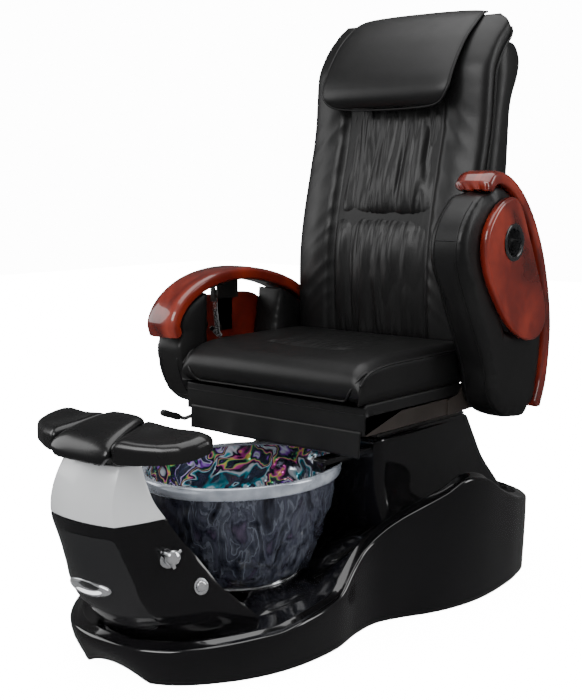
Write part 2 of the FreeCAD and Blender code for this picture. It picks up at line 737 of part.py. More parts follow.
def make_massage_carriage():
    plate = along_rails(-82, 82, 10, 18, -45, 45)
    cheeks = [along_rails(x0, x0 + 6, -8, 12, -14, 14) for x0 in (-82, 76)]
    carriage = fuse([plate] + cheeks)
    return carriage.cut(rod(MASSAGE_MID - X * 90, MASSAGE_MID + X * 90, 4.05))


def make_massage_rollers():
    pieces = [rod(MASSAGE_MID - X * 80, MASSAGE_MID + X * 80, 4)]
    for x in (-55, -25, 25, 55):
        pieces.append(rod(MASSAGE_MID + X * (x - 8), MASSAGE_MID + X * (x + 8), 8.5))
    return fuse(pieces)


PILLOW_GAP = 1.0
PILLOW_FACE = [(440, 1226), (432, 1262), (444, 1305), (468, 1352), (502, 1398), (545, 1440), (592, 1474),
               (640, 1486)]


def make_head_pillow():
    spine = [(484, 1228)] + [p for p in BACK_FRONT if p[1] > 1250] + [(640, 1470)]
    low = moved_in(spine, -PILLOW_GAP)
    slab = prism_x(joined(low, PILLOW_FACE[::-1]), -PILLOW_HALF, PILLOW_HALF)
    outline = polygon([(-150, 1200), (-PILLOW_HALF, 1280), (-PILLOW_HALF, 1400), (-192, 1520), (192, 1520),
                       (PILLOW_HALF, 1400), (PILLOW_HALF, 1280), (150, 1200)])
    return slab.common(prism_y(outline, 350, 800))


# ---------------------------------------------------------------- recline actuator
ACT_Y, ACT_Z = 100.0, 478.0


def actuator_line():
    end = vec(0, RECLINE_Y, RECLINE_Z - LEVER_ARM)
    return end, (end - vec(0, ACT_Y, ACT_Z)).normalize()


def make_actuator_body():
    _, way = actuator_line()
    start = vec(0, ACT_Y, ACT_Z)
    tube = rod(start + way * 14, start + way * 205, 14).cut(rod(start + way * 40, start + way * 206, 7.1))
    eye = rod(start - X * 12, start + X * 12, 9)
    neck = rod(start, start + way * 16, 8)
    eye_and_tube = fuse([eye, neck, tube])
    return eye_and_tube.cut(rod(start - X * 14, start + X * 14, 5.1))


def make_actuator_rod():
    end, way = actuator_line()
    piston = rod(end - way * 270, end - way * 24, 7)
    fork = [ring(end + X * x0, end + X * (x0 + 5), 14, 10) for x0 in (-11, 6)]
    cheeks = [box(x0, x0 + 5, end.y - 31, end.y - 10, end.z - 6, end.z + 7) for x0 in (-11, 6)]
    bridge = box(-11, 11, end.y - 31, end.y - 23, end.z - 6, end.z + 7)
    return fuse([piston, bridge] + fork + cheeks)


# ---------------------------------------------------------------- arms, drawn lowered on the +X side
CAP_TOP = [(-42, 645), (-52, 682), (-42, 714), (-10, 752), (40, 784), (95, 804), (165, 816),
           (240, 817), (328, 804), (385, 789), (440, 767), (505, 727), (560, 682), (603, 628)]
ARM_UNDER = [(576, 552), (526, 484), (460, 447), (380, 459), (264, 463), (120, 464), (60, 473),
             (20, 498), (-8, 536), (-24, 585), (-29, 620)]
ARM_WINDOW = [(78, 578), (78, 850), (376, 850), (376, 742), (340, 600), (322, 578)]
LINK_LONG = (-12.0, -96.0)
LINK_SHIFT = (-30.0, -14.0)
LINK_Y = 172.0


def cap_under():
    return moved_in(CAP_TOP, CAP_THICK)


def make_arm_cap():
    return prism_x(joined(CAP_TOP, cap_under()[::-1]), ARM_IN - 3, CAP_OUT)


def make_arm_body():
    top = cap_under()
    solid = prism_x([top, [top[-1], ARM_UNDER[0]], ARM_UNDER, [ARM_UNDER[-1], top[0]]], ARM_IN, ARM_OUT)
    solid = solid.cut(prism_x(polygon(ARM_WINDOW), ARM_IN - 10, ARM_OUT + 10))
    return solid.cut(rod(vec(ARM_IN - 5, ARM_Y, ARM_Z), vec(ARM_IN + 56, ARM_Y, ARM_Z), 18))


def make_arm_sleeve():
    sleeve = ring(vec(ARM_IN, ARM_Y, ARM_Z), vec(ARM_IN + 52, ARM_Y, ARM_Z), 18, 10.05)
    cap = rod(vec(ARM_IN + 52, ARM_Y, ARM_Z), vec(ARM_IN + 56, ARM_Y, ARM_Z), 18)
    return fuse([sleeve, cap])


def tray_outline(grow):
    """Two round ends and the two lines that touch both."""
    big, small = (118.0, 634.0, 106.0 + grow), (329.0, 663.0, 75.0 + grow)
    dy, dz = small[0] - big[0], small[1] - big[1]
    far = math.hypot(dy, dz)
    base = math.atan2(dz, dy)
    lean = math.acos((big[2] - small[2]) / far)
    points = {}
    for name, (cy, cz, r) in (("big", big), ("small", small)):
        for side in (-1, 1):
            angle = base + side * lean
            points[name, side] = (cy + r * math.cos(angle), cz + r * math.sin(angle))
    big_end = (big[0] - big[2] * math.cos(base), big[1] - big[2] * math.sin(base))
    small_end = (small[0] + small[2] * math.cos(base), small[1] + small[2] * math.sin(base))
    return points, big_end, small_end


def tray_prism(grow, x0, x1):
    points, big_end, small_end = tray_outline(grow)

    def at(p):
        return vec(x0, p[0], p[1])

    edges = [
        Part.Arc(at(points["big", 1]), at(big_end), at(points["big", -1])).toShape(),
        Part.LineSegment(at(points["big", -1]), at(points["small", -1])).toShape(),
        Part.Arc(at(points["small", -1]), at(small_end), at(points["small", 1])).toShape(),
        Part.LineSegment(at(points["small", 1]), at(points["big", 1])).toShape(),
    ]
    return prism(edges, vec(x1 - x0, 0, 0))


def make_tray():
    board = tray_prism(0, TRAY_IN, TRAY_IN + TRAY_THICK)
    hole = rod(vec(TRAY_IN - 5, CUP_Y, CUP_Z), vec(TRAY_IN + 40, CUP_Y, CUP_Z), 38)
    recess = box(TRAY_IN - 1, TRAY_IN + 3, 210, 270, 600, 760)
    notch = box(TRAY_IN - 1, TRAY_IN + 9, 205, 275, 730, 760)
    return board.cut(hole).cut(recess).cut(notch)


def make_cup_holder():
    def at(x):
        return vec(x, CUP_Y, CUP_Z)

    flange = ring(at(TRAY_IN + TRAY_THICK), at(TRAY_IN + TRAY_THICK + 3), 46, 34)
    wall = ring(at(370), at(TRAY_IN + TRAY_THICK + 1), 38, 34)
    floor = rod(at(367), at(370), 38)
    return fuse([flange, wall, floor])


def pivot_points():
    hinge = TRAY_HINGE
    tray_pin = (hinge[0] + LINK_LONG[0], hinge[1] + LINK_LONG[1])
    fixed_pin = (hinge[0] + LINK_SHIFT[0], hinge[1] + LINK_SHIFT[1])
    knee_pin = (fixed_pin[0] + LINK_LONG[0], fixed_pin[1] + LINK_LONG[1])
    return tray_pin, fixed_pin, knee_pin


def pin_y(point, y0, y1, radius):
    return rod(vec(point[0], y0, point[1]), vec(point[0], y1, point[1]), radius)


def strap_between(a, b, y0, y1, width):
    """A flat bar with round ends between two (x, z) points."""
    start, end = vec(a[0], y0, a[1]), vec(b[0], y0, b[1])
    way = (end - start).normalize()
    across = vec(-way.z, 0, way.x) * width
    corners = [start + across, end + across, end - across, start - across]
    edges = path_edges([[p, q] for p, q in zip(corners, corners[1:] + corners[:1])])
    bar = prism(edges, vec(0, y1 - y0, 0))
    return fuse([bar, pin_y(a, y0, y1, width), pin_y(b, y0, y1, width)])


def make_tray_hinge():
    """Arm side: a bracket under the cap with the tray's hinge pin, and the stay's strap."""
    leaf = box(366, 371, 200, 280, 728, 800)
    ears = [box(368, 384, y0, y0 + 6, 740, 752) for y0 in (206, 268)]
    pin = pin_y(TRAY_HINGE, 200, 280, 3)
    _, fixed_pin, _ = pivot_points()
    x0, x1 = fixed_pin[0] - 7, fixed_pin[0] + 7
    strap = box(x0, x1, LINK_Y - 10, LINK_Y - 5, fixed_pin[1] - 7, 800)
    bridge = box(x0, 371, LINK_Y - 10, 206, 764, 769)
    stub = pin_y(fixed_pin, LINK_Y - 10, LINK_Y, 3)
    return fuse([leaf, pin, strap, bridge, stub] + ears).cut(make_arm_cap())


def make_tray_strap():
    """Tray side: a strap let into the tray, with the hinge knuckle and the stay's lug."""
    tray_pin, _, _ = pivot_points()
    plate = box(TRAY_IN, TRAY_IN + 3, 212, 268, 640, 742)
    knuckle = ring(vec(TRAY_HINGE[0], 214, TRAY_HINGE[1]), vec(TRAY_HINGE[0], 266, TRAY_HINGE[1]), 6, 3.06)
    foot = box(TRAY_IN - 1, TRAY_IN + 4, 214, 266, 736, 742.2)
    arm = box(tray_pin[0] - 4, TRAY_IN, LINK_Y + 9, 214, tray_pin[1] - 4, tray_pin[1] + 4)
    pin = pin_y(tray_pin, LINK_Y + 1, LINK_Y + 12, 3)
    web = box(TRAY_IN - 4, TRAY_IN, 212, 222, 640, 660)
    clear = rod(vec(TRAY_HINGE[0], 190, TRAY_HINGE[1]), vec(TRAY_HINGE[0], 290, TRAY_HINGE[1]), 3.06)
    return fuse([plate, knuckle, foot, arm, pin, web]).cut(clear)


def make_stay_link():
    _, fixed_pin, knee_pin = pivot_points()
    bar = strap_between(fixed_pin, knee_pin, LINK_Y - 4, LINK_Y, 7)
    bar = bar.cut(pin_y(fixed_pin, LINK_Y - 6, LINK_Y + 2, 3.05))
    return fuse([bar, pin_y(knee_pin, LINK_Y - 1, LINK_Y + 8, 3)])


def make_stay_rod():
    tray_pin, _, knee_pin = pivot_points()
    bar = strap_between(knee_pin, tray_pin, LINK_Y + 2, LINK_Y + 6, 8)
    bar = bar.cut(pin_y(knee_pin, LINK_Y, LINK_Y + 8, 3.05))
    return bar.cut(pin_y(tray_pin, LINK_Y, LINK_Y + 8, 4.2))


ARM_MAKERS = {
    "arm_body": make_arm_body,
    "arm_cap": make_arm_cap,
    "arm_sleeve": make_arm_sleeve,
    "tray": make_tray,
    "cup_holder": make_cup_holder,
    "tray_hinge": make_tray_hinge,
    "tray_strap": make_tray_strap,
    "stay_link": make_stay_link,
    "stay_rod": make_stay_rod,
}


def save_arms():
    """The sitter's left arm (+X) is stored raised, the right one lowered."""
    for name, make in ARM_MAKERS.items():
        lowered = make()
        raised = lowered.copy()
        raised.rotate(vec(0, ARM_Y, ARM_Z), -X, ARM_RAISE)
        save(f"{name}_left", [raised])
        save(f"{name}_right", [lowered.mirror(vec(0, 0, 0), X)])


# ---------------------------------------------------------------- everything
def main():
    os.makedirs("parts", exist_ok=True)
    save("skirt_shell", [make_plinth()])
    save("tub_cradle", [make_cradle()])
    save("front_tower", [make_tower()])
    save("silver_band", [make_silver_band()])
    save("access_door", [make_door()])
    save("door_pull", [make_door_pull()])
    save("seat_column", [make_column()])
    save("base_frame", [make_base_frame()])
    save("levelling_feet", make_feet())
    save("bowl", [make_bowl()])
    save("bowl_rim", [make_bowl_rim()])
    save("drain_fitting", [make_drain_fitting()])
    save("pipework", make_pipework())
    save("jet_housing", [make_jet_housing()])
    save("jet_impeller", [make_jet_impeller()])
    save("mixing_valve", [make_mixing_valve()])
    save("control_bezels", make_control_bezels())
    save("valve_knob", [make_valve_knob()])
    save("push_button", [make_push_button()])
    save("fill_spout", [make_fill_spout()])
    save("control_box", [make_control_box()])
    save("slide_rails", make_slide_rails())
    save("footrest_carrier", [make_carrier()])
    save("footrest_centre", [make_centre_pad()])
    save("footrest_left", [make_side_pad()])
    save("footrest_right", [make_side_pad().mirror(vec(0, 0, 0), X)])
    save("seat_slides", make_seat_slides())
    save("seat_frame", [make_seat_frame()])
    save("seat_box", [make_seat_box()])
    save("seat_cushion", [make_seat_cushion()])
    save("front_flap", [make_front_flap()])
    save("recline_brackets", make_recline_brackets())
    save("lever_rod", [make_lever_rod()])
    save("lever_grip", [make_lever_grip()])
    save("back_frame", [make_back_frame()])
    save("back_cushion", [make_back_cushion()])
    save("back_cover", [make_back_cover()])
    save("head_pillow", [make_head_pillow()])
    save("massage_carriage", [make_massage_carriage()])
    save("massage_rollers", [make_massage_rollers()])
    save("actuator_body", [make_actuator_body()])
    save("actuator_rod", [make_actuator_rod()])
    save_arms()


main()
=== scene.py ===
"""Looks of the pedicure spa chair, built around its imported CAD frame.

Lengths are metres. Points are written as in part.py, with y counted from the front of the
seat frame, and moved by SHIFT into the frame, whose origin is under the middle of the chair.
"""
import json
import math

import bmesh
import bpy
import numpy as np
from mathutils import Matrix, Vector, noise
from mathutils.bvhtree import BVHTree


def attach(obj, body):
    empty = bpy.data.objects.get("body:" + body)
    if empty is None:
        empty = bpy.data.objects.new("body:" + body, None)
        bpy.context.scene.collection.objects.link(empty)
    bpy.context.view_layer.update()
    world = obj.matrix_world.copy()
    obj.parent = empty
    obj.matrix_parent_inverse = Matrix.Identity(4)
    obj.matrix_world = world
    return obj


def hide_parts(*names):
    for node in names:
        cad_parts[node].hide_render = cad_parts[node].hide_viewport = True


SHIFT = -0.096
ARM_PIVOT = (0.470, 0.530)
ARM_RAISE = math.radians(62)
WELT = 0.0032
SOFTEN_FRAMES = 20
PANEL_FRAMES = 12
PANEL_CAP = 0.006
PANEL_THICK = 0.0025
COVER_THICK = 0.004
FLAP_THICK = 0.0018

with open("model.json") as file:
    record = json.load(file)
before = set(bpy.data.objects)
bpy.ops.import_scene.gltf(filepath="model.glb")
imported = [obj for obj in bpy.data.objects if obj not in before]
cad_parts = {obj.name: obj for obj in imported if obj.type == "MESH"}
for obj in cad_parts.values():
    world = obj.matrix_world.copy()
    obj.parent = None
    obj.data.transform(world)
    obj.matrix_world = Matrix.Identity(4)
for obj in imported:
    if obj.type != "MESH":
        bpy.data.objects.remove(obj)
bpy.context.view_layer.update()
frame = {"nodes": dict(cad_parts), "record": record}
scene = bpy.context.scene


# ---------------------------------------------------------------- curves and meshes
def circle(count):
    return np.linspace(0, 2 * math.pi, count, endpoint=False)


def runs(points):
    """The distance along a line of points to each of them."""
    steps = np.linalg.norm(np.diff(points, axis=0), axis=1)
    return np.concatenate([[0], np.cumsum(steps)])


def resample(points, count, closed=False):
    """Evenly spaced points on a smooth curve through the given ones."""
    pts = np.array(points, float)
    if closed:
        pts = np.vstack([pts[-1], pts, pts[0], pts[1]])
    else:
        pts = np.vstack([2 * pts[0] - pts[1], pts, 2 * pts[-1] - pts[-2]])
    dense = []
    steps = np.linspace(0, 1, 24, endpoint=False)[:, None]
    for i in range(1, len(pts) - 2):
        a, b, c, d = pts[i - 1:i + 3]
        before, here, after = (max(np.linalg.norm(q - p), 1e-9) ** 0.5 for p, q in ((a, b), (b, c), (c, d)))
        leave = ((c - b) / here - (c - a) / (before + here) + (b - a) / before) * here
        arrive = ((c - b) / here - (d - b) / (here + after) + (d - c) / after) * here
        dense.extend((2 * steps ** 3 - 3 * steps ** 2 + 1) * b + (steps ** 3 - 2 * steps ** 2 + steps) * leave
                     + (3 * steps ** 2 - 2 * steps ** 3) * c + (steps ** 3 - steps ** 2) * arrive)
    dense.append(pts[-2])
    dense = np.array(dense)
    run = runs(dense)
    want = np.linspace(0, run[-1], count, endpoint=not closed)
    return np.column_stack([np.interp(want, run, dense[:, k]) for k in range(dense.shape[1])])


def smooth_step(value, low, high):
    t = np.clip((np.asarray(value, float) - low) / (high - low), 0, 1)
    return t * t * (3 - 2 * t)


def normals_2d(points, closed=False):
    """Unit normals on the right-hand side of a curve of (a, b) points."""
    pts = np.array(points, float)
    if closed:
        way = np.roll(pts, -1, 0) - np.roll(pts, 1, 0)
    else:
        way = np.gradient(pts, axis=0)
    way /= np.linalg.norm(way, axis=1)[:, None]
    return np.column_stack([way[:, 1], -way[:, 0]])


def inward_normals(outline):
    """Unit normals of a closed outline that point to its inside."""
    way = normals_2d(outline, True)
    area = np.sum(outline[:, 0] * np.roll(outline[:, 1], -1) - np.roll(outline[:, 0], -1) * outline[:, 1])
    return -way if area > 0 else way


def draw_in(away, radius, depth=None):
    """How far a rounded end draws a side in, at a distance from that end; depth is the most."""
    if away >= radius:
        return 0.0
    return (depth or radius) * (1 - math.sqrt(max(0.0, 1 - (1 - away / radius) ** 2)))


def power_of(value, power):
    """A power that keeps the value's sign."""
    return math.copysign(abs(value) ** power, value)


def at_x(x, points):
    """(y, z) points set at one x."""
    return [(x, p[0], p[1]) for p in points]


def new_object(name, verts, faces):
    mesh = bpy.data.meshes.new(name)
    mesh.from_pydata([tuple(map(float, v)) for v in verts], [], faces)
    mesh.validate()
    obj = bpy.data.objects.new(name, mesh)
    scene.collection.objects.link(obj)
    return obj


def moved(verts):
    return np.array(verts, float).reshape(-1, 3) + np.array((0, SHIFT, 0))


def grid_faces(rows, cols, wrap=False, wrap_rows=False):
    faces = []
    for i in range(rows if wrap_rows else rows - 1):
        for j in range(cols if wrap else cols - 1):
            k = (i + 1) % rows
            n = (j + 1) % cols
            faces.append((i * cols + j, i * cols + n, k * cols + n, k * cols + j))
    return faces


def clean(obj, distance=1e-5):
    """Merges doubled points and turns all faces outward."""
    bm = bmesh.new()
    bm.from_mesh(obj.data)
    bmesh.ops.remove_doubles(bm, verts=bm.verts, dist=distance)
    bmesh.ops.dissolve_degenerate(bm, edges=bm.edges, dist=distance / 10)
    bmesh.ops.recalc_face_normals(bm, faces=bm.faces)
    bm.to_mesh(obj.data)
    bm.free()
    obj.data.polygons.foreach_set("use_smooth", [True] * len(obj.data.polygons))
    return obj


def loft(name, rows, wrap=True, cap_start=False, cap_end=False):
    """Skin over rows of points; a capped end closes on its middle."""
    rows = np.array(rows, float)
    count, cols = rows.shape[:2]
    verts = list(moved(rows))
    faces = grid_faces(count, cols, wrap)
    for wanted, row in ((cap_start, 0), (cap_end, count - 1)):
        if wanted:
            verts.append(np.mean(verts[row * cols:(row + 1) * cols], axis=0))
            middle = len(verts) - 1
            faces += [(middle, row * cols + j, row * cols + (j + 1) % cols) for j in range(cols)]
    return clean(new_object(name, verts, faces))


def closed_loft(name, rows):
    """A skin over closed rows, capped at both ends."""
    return loft(name, rows, True, True, True)


def apply_modifiers(obj):
    graph = bpy.context.evaluated_depsgraph_get()
    mesh = bpy.data.meshes.new_from_object(obj.evaluated_get(graph))
    old = obj.data
    obj.modifiers.clear()
    obj.data = mesh
    bpy.data.meshes.remove(old)
    obj.data.polygons.foreach_set("use_smooth", [True] * len(obj.data.polygons))
    return obj


def modify(obj, kind, **values):
    modifier = obj.modifiers.new(kind.title(), kind)
    for key, value in values.items():
        setattr(modifier, key, value)
    return modifier


def boolean(obj, cutter, operation="DIFFERENCE"):
    modify(obj, "BOOLEAN", object=cutter, operation=operation, solver="EXACT")
    apply_modifiers(obj)
    return obj


def drop(*objs):
    for o in objs:
        bpy.data.objects.remove(o)


def sharpen(obj, degrees=35):
    """Keeps edges above this angle crisp while the rest stays smooth."""
    bm = bmesh.new()
    bm.from_mesh(obj.data)
    for edge in bm.edges:
        if len(edge.link_faces) == 2 and edge.calc_face_angle(0) > math.radians(degrees):
            edge.smooth = False
    bm.to_mesh(obj.data)
    bm.free()
    return obj


def tube(name, points, radius, sides=8, closed=False, count=None):
    """A round bar along a path, capped at its ends."""
    path = resample(points, count or max(8, len(points)), closed)
    rows = []
    total = len(path)
    reference = np.array((0.31, 0.47, 0.83))
    for i in range(total):
        before = path[(i - 1) % total] if closed or i else path[0]
        after = path[(i + 1) % total] if closed or i < total - 1 else path[-1]
        way = after - before
        way /= np.linalg.norm(way)
        side = np.cross(way, reference)
        side /= np.linalg.norm(side)
        reference = np.cross(side, way)
        up = reference
        rows.append([path[i] + radius * (math.cos(a) * side + math.sin(a) * up)
                     for a in circle(sides)])
    if closed:
        verts = moved(rows)
        return clean(new_object(name, verts, grid_faces(total, sides, True, True)))
    return closed_loft(name, rows)


def lathe(name, profile, origin, axis, segments=48, stretch=None):
    """Turns (radius, height) points about an axis through origin."""
    axis = Vector(axis).normalized()
    turn = axis.to_track_quat("Z", "Y").to_matrix()
    rows = []
    for r, h in profile:
        row = []
        for a in circle(segments):
            local = Vector((r * math.cos(a), r * math.sin(a), h))
            if stretch:
                local.y *= stretch
            row.append(Vector(origin) + turn @ local)
        rows.append(row)
    return loft(name, rows)


def rounded_polygon(points, radius, steps=6):
    """A closed polygon with each corner rounded; radius is one number or one for each corner."""
    pts = [Vector(p) for p in points]
    radii = radius if hasattr(radius, "__len__") else [radius] * len(pts)
    result = []
    for i, corner in enumerate(pts):
        before = (pts[i - 1] - corner).normalized()
        after = (pts[(i + 1) % len(pts)] - corner).normalized()
        reach = radii[i] / math.tan(before.angle(after) / 2)
        start, end = corner + before * reach, corner + after * reach
        for t in np.linspace(0, 1, steps):
            result.append(start * (1 - t) ** 2 + corner * 2 * t * (1 - t) + end * t * t)
    return np.array([tuple(p) for p in result])


def slab(name, outline, x0, x1, radius):
    """A board across X with a (y, z) outline and rounded edges."""
    out = np.array(outline, float)
    inward = inward_normals(out)
    middle = out.mean(axis=0)
    face = [(out + inward * radius) * k + middle * (1 - k) for k in (0.25, 0.5, 0.75, 0.92)]
    rows = [at_x(x0, pts) for pts in face]
    for x, sign, start in ((x0, 1, math.pi / 2), (x1, -1, 0)):
        for a in np.linspace(start, math.pi / 2 - start, 5):
            inset = radius * (1 - math.cos(a))
            rows.append(at_x(x + sign * radius * (1 - math.sin(a)), out + inward * inset))
    rows += [at_x(x1, pts) for pts in face[::-1]]
    return closed_loft(name, rows)


def swept(name, spine, count, half, thick, middle_x=0.0, power=4.0, front_power=4.0,
          corner=0.0, edge=0.0, columns=48):
    """A padded bar along a (y, z) spine. Its thickness lies on the spine's right-hand side.

    half and thick are numbers or functions of the share of the length. corner rounds the
    ends seen from the front and edge rounds them seen from the side. power squares the
    section off, and front_power does so on the side that faces the sitter.
    """
    path = resample(spine, count)
    side = normals_2d(path)
    length = runs(path)[-1]
    rows = []
    for i, (point, normal) in enumerate(zip(path, side)):
        t = i / (count - 1)
        away = min(t, 1 - t) * length
        half_now = half(t) if callable(half) else half
        thick_now = thick(t) if callable(thick) else thick
        half_now -= draw_in(away, corner)
        full = thick_now
        thick_now *= 1 - draw_in(away, edge, 1.0)
        row = []
        for a in circle(columns):
            c, s = math.cos(a), math.sin(a)
            p = front_power if s > 0 else power
            u = power_of(c, 2 / p)
            w = 0.5 * full - 0.5 * thick_now * power_of(s, 2 / p)
            y, z = point + normal * w
            row.append((middle_x + half_now * u, y, z))
        rows.append(row)
    return closed_loft(name, rows)


def raised(obj):
    """Turns a piece of the lowered arm up to its stored place."""
    centre = Vector((0, ARM_PIVOT[0] + SHIFT, ARM_PIVOT[1]))
    turn = Matrix.Translation(centre) @ Matrix.Rotation(-ARM_RAISE, 4, "X") @ Matrix.Translation(-centre)
    obj.data.transform(turn)
    return obj


def mirrored(obj):
    obj.data.transform(Matrix.Scale(-1, 4, (1, 0, 0)))
    obj.data.flip_normals()
    return obj


def duplicate(obj, name):
    other = bpy.data.objects.new(name, obj.data.copy())
    scene.collection.objects.link(other)
    return other


def copy_node(node, name):
    """A copy of a CAD node without its material."""
    obj = duplicate(frame["nodes"][node], name)
    obj.data.materials.clear()
    return obj


def coords(obj):
    values = np.zeros(len(obj.data.vertices) * 3)
    obj.data.vertices.foreach_get("co", values)
    return values.reshape(-1, 3)


def set_coords(obj, co):
    obj.data.vertices.foreach_set("co", co.astype(np.float32).ravel())
    obj.data.update()


def vertex_normals(obj):
    values = np.zeros(len(obj.data.vertices) * 3)
    obj.data.vertex_normals.foreach_get("vector", values)
    return values.reshape(-1, 3)


def settle(obj, start, frames, cap, **settings):
    """A few frames of weightless cloth under pressure; no point ends further than cap from start."""
    cloth = obj.modifiers.new("Cloth", "CLOTH")
    cloth.settings.use_pressure = True
    cloth.settings.effector_weights.gravity = 0
    for key, value in settings.items():
        setattr(cloth.settings, key, value)
    cloth.point_cache.frame_start = 1
    cloth.point_cache.frame_end = frames
    for number in range(1, frames + 1):
        scene.frame_set(number)
    apply_modifiers(obj)
    scene.frame_set(1)
    step = coords(obj) - start
    size = np.maximum(np.linalg.norm(step, axis=1), 1e-9)
    set_coords(obj, start + step * (np.minimum(size, cap) / size)[:, None])


def soften(obj, voxel, smoothing, pressure, cap):
    """Voxel remesh, smoothing, then a short cloth inflation with capped movement."""
    modify(obj, "REMESH", mode="VOXEL", voxel_size=voxel)
    modify(obj, "SMOOTH", factor=0.5, iterations=smoothing)
    apply_modifiers(obj)
    settle(obj, coords(obj), SOFTEN_FRAMES, cap, quality=4, uniform_pressure_force=pressure,
           bending_stiffness=2.0)
    modify(obj, "SMOOTH", factor=0.5, iterations=3)
    apply_modifiers(obj)
    return obj


def on_surface(obj, points, lift=0.0):
    """The nearest points of a mesh, lifted along its normals; points are in part.py's places."""
    tree = BVHTree.FromPolygons([v.co for v in obj.data.vertices],
                                [tuple(p.vertices) for p in obj.data.polygons])
    result = []
    for p in points:
        place, normal, _, _ = tree.find_nearest(Vector((p[0], p[1] + SHIFT, p[2])))
        place = place + normal * lift
        result.append((place.x, place.y - SHIFT, place.z))
    return np.array(result)


# ---------------------------------------------------------------- materials
class Nodes:
    """A small helper that writes a material's nodes."""

    def __init__(self, name):
        self.material = bpy.data.materials.new(name)
        self.material.use_nodes = True
        self.tree = self.material.node_tree
        self.shader = self.tree.nodes["Principled BSDF"]
        place = self.tree.nodes.new("ShaderNodeTexCoord")
        self.place = place.outputs["Object"]

    def node(self, kind, **values):
        made = self.tree.nodes.new("ShaderNode" + kind)
        for key, value in values.items():
            if hasattr(made, key):
                setattr(made, key, value)
            else:
                made.inputs[key.replace("_", " ")].default_value = value
        return made

    def link(self, a, b):
        self.tree.links.new(a, b)

    def stretched(self, scale, turn=(0, 0, 0)):
        made = self.node("Mapping")
        made.inputs["Scale"].default_value = scale
        made.inputs["Rotation"].default_value = turn
        self.link(self.place, made.inputs["Vector"])
        return made.outputs["Vector"]

    def noise(self, scale, detail=3.0, distortion=0.0, at=None, rough=0.5):
        made = self.node("TexNoise", Scale=scale, Detail=detail, Distortion=distortion, Roughness=rough)
        self.link(at or self.place, made.inputs["Vector"])
        return made.outputs["Fac"]

    def cells(self, scale, at=None):
        made = self.node("TexVoronoi", Scale=scale)
        self.link(at or self.place, made.inputs["Vector"])
        return made.outputs["Distance"]

    def ramp(self, value, stops):
        made = self.node("ValToRGB")
        elements = made.color_ramp.elements
        while len(elements) < len(stops):
            elements.new(0.5)
        for element, (place, color) in zip(elements, stops):
            element.position = place
            element.color = (*color, 1)
        self.link(value, made.inputs["Fac"])
        return made.outputs["Color"]

    def span(self, value, low, high):
        made = self.node("MapRange")
        made.inputs["To Min"].default_value = low
        made.inputs["To Max"].default_value = high
        self.link(value, made.inputs["Value"])
        return made.outputs["Result"]

    def bump(self, layers):
        """layers: (height, strength, distance) from the broadest to the finest."""
        normal = None
        for height, strength, distance in layers:
            made = self.node("Bump", Strength=strength, Distance=distance)
            self.link(height, made.inputs["Height"])
            if normal is not None:
                self.link(normal, made.inputs["Normal"])
            normal = made.outputs["Normal"]
        self.link(normal, self.shader.inputs["Normal"])

    def color(self, output):
        self.link(output, self.shader.inputs["Base Color"])

    def rough(self, value, low, high):
        self.link(self.span(value, low, high), self.shader.inputs["Roughness"])

    def values(self, **values):
        for key, value in values.items():
            self.shader.inputs[key.replace("_", " ")].default_value = value


def simple(name, dark, light, scale, rough, grain, depth, strength, values):
    """A finish with cloudy colour, uneven gloss and a fine surface."""
    n = Nodes(name)
    cloud = n.noise(scale, 4.0)
    n.color(n.ramp(cloud, [(0.35, dark), (0.7, light)]))
    n.rough(n.noise(scale * 2.3, 3.0), *rough)
    n.bump([(n.noise(grain, 2.0), strength, depth)])
    n.values(**values)
    return n.material


def leather_material():
    n = Nodes("leather")
    cloud = n.noise(5.0, 4.0)
    n.color(n.ramp(cloud, [(0.3, (0.0022, 0.0022, 0.0024)), (0.75, (0.0042, 0.0041, 0.0042))]))
    n.rough(n.noise(30.0, 4.0), 0.34, 0.46)
    n.bump([(n.noise(22.0, 3.0, 0.6), 0.16, 0.002), (n.cells(620.0), 0.22, 0.0004),
            (n.noise(1500.0, 2.0), 0.10, 0.0002)])
    n.values(Specular_IOR_Level=0.5)
    return n.material


def wood_material():
    n = Nodes("wood")
    grain_place = n.stretched((9.0, 1.6, 1.6))
    broad = n.noise(2.2, 3.0, 1.2, grain_place)
    fine_place = n.stretched((60.0, 5.0, 5.0))
    fine = n.noise(7.0, 2.0, 0.5, fine_place)
    blend = n.node("Math", operation="ADD")
    n.link(n.span(broad, 0.0, 0.85), blend.inputs[0])
    n.link(n.span(fine, 0.0, 0.15), blend.inputs[1])
    n.color(n.ramp(blend.outputs["Value"], [
        (0.28, (0.0200, 0.0012, 0.0006)), (0.46, (0.0560, 0.0034, 0.0012)),
        (0.60, (0.1050, 0.0080, 0.0020)), (0.78, (0.1700, 0.0180, 0.0036))]))
    n.rough(broad, 0.24, 0.34)
    n.bump([(n.noise(3.0, 2.0), 0.02, 0.001)])
    n.values(Coat_Weight=1.0, Coat_Roughness=0.035, Coat_IOR=1.55, Specular_IOR_Level=0.5)
    return n.material


